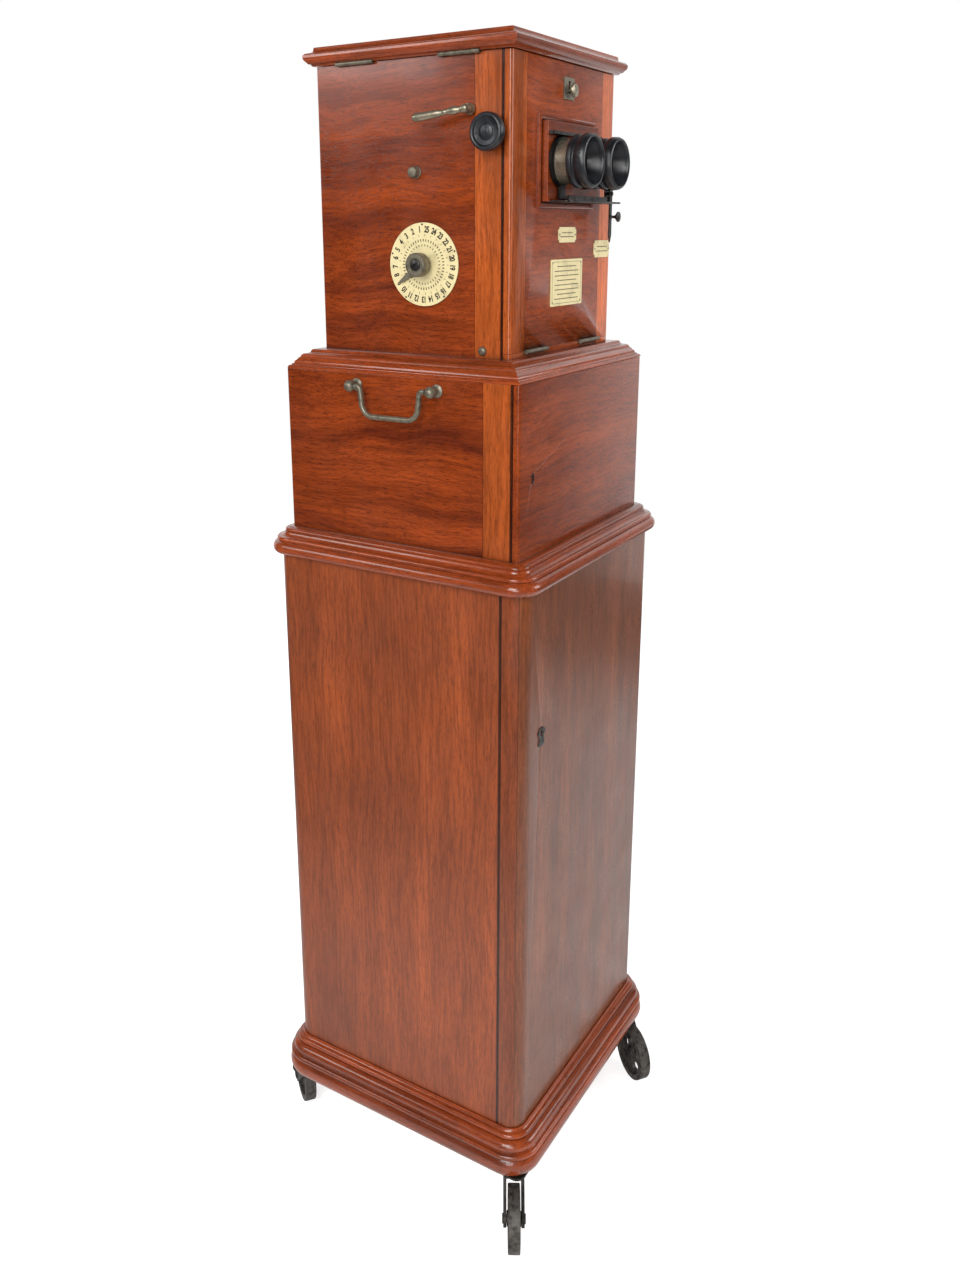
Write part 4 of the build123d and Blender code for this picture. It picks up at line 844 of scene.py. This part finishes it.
class VIEWER_OT_labels(bpy.types.Operator):
    """Ivory plates on the drop door, ruled and pinned, with no lettering"""

    bl_idname = "viewer.labels"
    bl_label = "Labels"

    def execute(self, context):
        ink = material_named("Printing ink")
        # The labels' ivory is lightened as painted light.
        finish_node("label_plates", material_named("Label ivory with painted light"), 0.0001)
        form = bmesh.new()
        pins = []
        for low, high in island_boxes("label_plates"):
            width, height = high.x - low.x, high.z - low.z
            large = height > 0.03
            edge = 0.0034 if large else 0.0026
            x0, x1, z0, z1 = low.x + edge, high.x - edge, low.z + edge * 0.8, high.z - edge * 0.8
            y0, y1 = low.y - 0.00008, low.y + 0.0002
            if large:
                box_in(form, (x0, y0, z0), (x1, y1, z0 + RULE))
                box_in(form, (x0, y0, z1 - RULE), (x1, y1, z1))
                box_in(form, (x0, y0, z0), (x0 + RULE, y1, z1))
                box_in(form, (x1 - RULE, y0, z0), (x1, y1, z1))
            rows = max(2, round(height / 0.0052) - 2)
            for row in range(rows):
                z = z1 - (row + 1) * (z1 - z0) / (rows + 1)
                inset = width * (0.12 if row % 3 else 0.20)
                x = low.x + inset
                while x < high.x - inset:
                    dash = 0.0022 + 0.0016 * ((row * 7 + int(x * 5000)) % 3)
                    box_in(form, (x, y0, z - 0.0005), (min(x + dash, high.x - inset), y1, z + 0.0005))
                    x += dash + 0.0011
            pin = 0.0042 if large else 0.0030
            for x in (low.x + pin, high.x - pin):
                for z in ((low.z + pin, high.z - pin) if large else (centre((low, high)).z,)):
                    pins.append(((x, low.y, z), FRONT, 0))
        make_piece("label_rules", mesh_of("label_rules", form), ink, "head_front")
        screws("label_pins", pins, material_named("Blackened steel"), "head_front",
               0.0010, 0.0005, 0.0002)
        return {"FINISHED"}


KEYHOLE_X = -0.129        # both keyholes are near the left edge
BOW = 0.0030              # radius of a keyhole's round end
FOOT = [(-0.0024, -0.0078), (-0.0012, -0.0088), (0.0012, -0.0088), (0.0024, -0.0078)]


class VIEWER_OT_keyholes(bpy.types.Operator):
    """Inlaid metal rims round the two keyholes"""

    bl_idname = "viewer.keyholes"
    bl_label = "Keyholes"

    def execute(self, context):
        # piece, door, body, height above the door's foot, and the plate's width and height
        for name, cad, body, up, wider, taller in (
                ("middle_keyhole_rim", "middle_door", "middle_front", 0.0916, 1.0, 1.0),
                ("column_keyhole_rim", "cabinet_door", "cabinet_front", 0.5196, 3.0, 2.0)):
            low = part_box(cad)[0]
            middle = Vector((KEYHOLE_X, low.y, low.z + up))
            angles = [math.radians(-60 + 300 * k / 24) for k in range(25)]
            outline = [(BOW * math.cos(angle), BOW * math.sin(angle)) for angle in angles] + FOOT
            loops = []
            for share, raised in ((0.70, -0.0012), (0.72, 0.0004), (0.80, 0.0008), (0.92, 0.0008),
                                  (1.0, 0.0004), (1.0, -0.0012)):
                across = share * (wider if share > 0.75 else 1)
                upward = share * (taller if share > 0.75 else 1)
                drop = 0.001 * (upward - 1)
                loops.append([(middle.x + x * across, middle.y - raised, middle.z + z * upward - drop)
                              for x, z in outline])
            looped(name, loops, material_named("Blackened steel"), body)
        return {"FINISHED"}


HINGE_ROWS = (
    # joint, centres along the axis, half length, screw distance in, inward, up, moving body
    ("lid_hinge", "Y", (-0.064, 0.071), 0.025, 0.0088, (1, 0, 0), (0, 0, 1), "lid"),
    ("head_door_hinge", "X", (-0.068, 0.068), 0.025, 0.0072, (0, 1, 0), (0, 0, 1), "head_front"),
    ("middle_door_hinge", "Z", (0.910, 1.020), 0.024, 0.0104, (-1, 0, 0), (0, -1, 0), "middle_front"),
    ("cabinet_door_hinge", "Z", (0.232, 0.746), 0.035, 0.0140, (-1, 0, 0), (0, -1, 0), "cabinet_front"),
)


LEAF_SEAM = 0.00015       # half the gap between a hinge's leaves
BOLT_OUT = 0.0132         # bolts from the middle of a caster plate, in X and in Y


class VIEWER_OT_screws(bpy.types.Operator):
    """Countersunk screws in every hinge leaf, and the bolts of the caster plates"""

    bl_idname = "viewer.screws"
    bl_label = "Screws"

    def execute(self, context):
        dull = material_named("Dull nickel plate")
        radius = context.scene.viewer_metal.screw_head
        joints = {joint["name"]: joint for joint in frame["joints"]}
        still = []
        for name, axis, middles, half, inset, inward, up, body in HINGE_ROWS:
            pivot = Vector(joints[name]["pos_m"])
            inward, up = Vector(inward), Vector(up)
            turning = []
            for middle in middles:
                for share in (-0.72, 0, 0.72):
                    spot = pivot.copy()
                    spot["XYZ".index(axis)] = middle + share * half
                    spot += inward * inset
                    still.append((spot - up * LEAF_SEAM, up, middle * 40 + share))
                    turning.append((spot + up * LEAF_SEAM, -up, middle * 70 + share * 2))
            screws(body + "_hinge_screws", turning, dull, body, radius * 0.8, 0.00010, 0.0005)
        screws("fixed_hinge_screws", still, dull, "cabinet", radius * 0.8, 0.00010, 0.0005)
        bolts = []
        for low, high in island_boxes("caster_plates"):
            middle = centre((low, high))
            for x in (-BOLT_OUT, BOLT_OUT):
                for y in (-BOLT_OUT, BOLT_OUT):
                    bolts.append(((middle.x + x, middle.y + y, low.z), DOWN, x * 30 + y * 70))
        screws("caster_plate_screws", bolts, material_named("Black cast iron"), "cabinet",
               radius * 1.7, 0.0015, 0.0010)
        return {"FINISHED"}


CAMERA_SPOT = (-1.1659, -0.7076, 1.2193)
CAMERA_SHIFT = (0.0203, -0.093)
FLOOR_HALF = 2.4
SHEET_SIDE = (0.847, 0.532, 0)      # towards the bright sheet that polished wood mirrors


class VIEWER_OT_stage(bpy.types.Operator):
    """Pale floor, soft lamps and the camera"""

    bl_idname = "viewer.stage"
    bl_label = "Stage"

    def execute(self, context):
        settings = context.scene.viewer_stage
        scene = context.scene
        scene.view_settings.view_transform = "Standard"
        camera = in_scene("camera", bpy.data.cameras.new("camera"))
        camera.data.sensor_width = 36
        camera.data.lens = settings.lens
        camera.data.shift_x, camera.data.shift_y = CAMERA_SHIFT
        camera.location = CAMERA_SPOT
        turn = Matrix.Identity(3)
        for angle, axis in ((-57.85, "Z"), (90 - 14.80, "X"), (-0.27, "Z")):     # heading, tilt and roll
            turn = turn @ Matrix.Rotation(math.radians(angle), 3, axis)
        camera.rotation_euler = turn.to_euler()
        scene.camera = camera
        form = bmesh.new()
        bmesh.ops.create_grid(form, x_segments=1, y_segments=1, size=FLOOR_HALF)
        floor = in_scene("floor", mesh_of("floor", form))
        tree, place = new_material("Studio floor")
        pale = tuple(settings.floor)
        path = node(tree, "ShaderNodeLightPath").outputs
        straight = {0: path["Is Camera Ray"], 1: path["Is Transmission Ray"]}
        seen = node(tree, MATH, straight, operation="MAXIMUM")
        away = node(tree, "ShaderNodeVectorMath", {0: place, 1: settings.paper}, operation="DISTANCE")
        reach = node(tree, MATH, {0: away, 1: 3}, operation="DIVIDE")
        paper = node(tree, RAMP, {"Fac": reach}, [
            (0.34, rgba(pale)), (0.50, scaled(pale, 0.26)),
            (0.70, scaled(pale, 0.10)), (0.80, scaled(pale, 0.35))])
        sheet = node(tree, MIX, {0: path["Is Glossy Ray"], 6: rgba(pale), 7: paper}, data_type="RGBA")
        surface(tree, {
            "Base Color": sheet,
            "Roughness": 0.9, "Specular IOR Level": 0.1, "Emission Color": (1, 1, 1, 1),
            "Emission Strength": node(tree, MATH, {0: seen, 1: 0.64}, operation="MULTIPLY")})
        floor.data.materials.append(material_named("Studio floor"))
        world = bpy.data.worlds.new("studio")
        world.use_nodes = True
        sky = world.node_tree
        sky.nodes.clear()
        path = node(sky, "ShaderNodeLightPath").outputs
        straight = {0: path["Is Camera Ray"], 1: path["Is Transmission Ray"]}
        seen = node(sky, MATH, straight, operation="MAXIMUM")
        way = node(sky, "ShaderNodeTexCoord").outputs["Generated"]
        toward = node(sky, "ShaderNodeVectorMath", {0: way, 1: SHEET_SIDE}, operation="DOT_PRODUCT")
        sheet = node(sky, RANGE, {
            "Value": toward, "From Min": 0.50, "From Max": 0.64, "To Min": settings.room, "To Max": 1.0})
        even = node(sky, MATH, {0: path["Is Diffuse Ray"], 1: settings.ambient}, operation="MULTIPLY")
        mirrored = node(sky, MATH, {0: path["Is Glossy Ray"], 1: sheet}, operation="MULTIPLY")
        glow = node(sky, MATH, {0: even, 1: mirrored}, operation="ADD")
        bright = node(sky, MATH, {0: seen, 1: glow}, operation="MAXIMUM")
        back = node(sky, "ShaderNodeBackground", {"Color": (1, 1, 1, 1), "Strength": bright})
        node(sky, "ShaderNodeOutputWorld", {"Surface": back})
        scene.world = world
        for name, spot, aim, size, power in (
                ("key", (-2.9, -0.7, 2.5), (0, 0, 0.9), 1.6, settings.key),
                ("glare", (-2.1, 1.75, 2.15), (0, 0, 1.3), 0.9, settings.key * 0.22),
                ("side", (-3.1, -1.6, 1.2), (0, 0, 0.6), 1.3, settings.key * 0.45),
                ("fill", (1.5, -2.7, 1.9), (0, 0, 0.8), 1.5, settings.fill)):
            lamp = in_scene(name, bpy.data.lights.new(name, "AREA"))
            lamp.data.shape = "SQUARE"
            lamp.data.size = size
            lamp.data.energy = power
            lamp.location = spot
            lamp.rotation_euler = (Vector(aim) - Vector(spot)).to_track_quat("-Z", "Y").to_euler()
        return {"FINISHED"}


STEPS = (
    VIEWER_OT_finishes, VIEWER_OT_casework, VIEWER_OT_hardware, VIEWER_OT_optics, VIEWER_OT_lens_frame,
    VIEWER_OT_dial, VIEWER_OT_labels, VIEWER_OT_keyholes, VIEWER_OT_screws, VIEWER_OT_stage)


class VIEWER_PT_pieces(bpy.types.Panel):
    """The viewer's settings and pieces"""

    bl_idname = "VIEWER_PT_pieces"
    bl_label = "Stereo viewer"
    bl_space_type = "VIEW_3D"
    bl_region_type = "UI"
    bl_category = "Stereo Viewer"

    def draw(self, context):
        for group in ("viewer_wood", "viewer_metal", "viewer_dial", "viewer_stage"):
            settings = getattr(context.scene, group)
            area = self.layout.box()
            for name in settings.bl_rna.properties.keys():
                if name not in ("rna_type", "name"):
                    area.prop(settings, name)
        for step in STEPS:
            self.layout.operator(step.bl_idname)


SETTINGS = (
    ("viewer_wood", WoodSettings), ("viewer_metal", MetalSettings),
    ("viewer_dial", DialSettings), ("viewer_stage", StageSettings))


def register():
    for name, group in SETTINGS:
        bpy.utils.register_class(group)
        setattr(bpy.types.Scene, name, bpy.props.PointerProperty(type=group))
    for step in (*STEPS, VIEWER_PT_pieces):
        bpy.utils.register_class(step)


def unregister():
    for step in reversed((*STEPS, VIEWER_PT_pieces)):
        bpy.utils.unregister_class(step)
    for name, group in reversed(SETTINGS):
        delattr(bpy.types.Scene, name)
        bpy.utils.unregister_class(group)


def main():
    register()
    for step in STEPS:
        family, name = step.bl_idname.split(".")
        getattr(getattr(bpy.ops, family), name)()


if __name__ == "__main__":
    main()
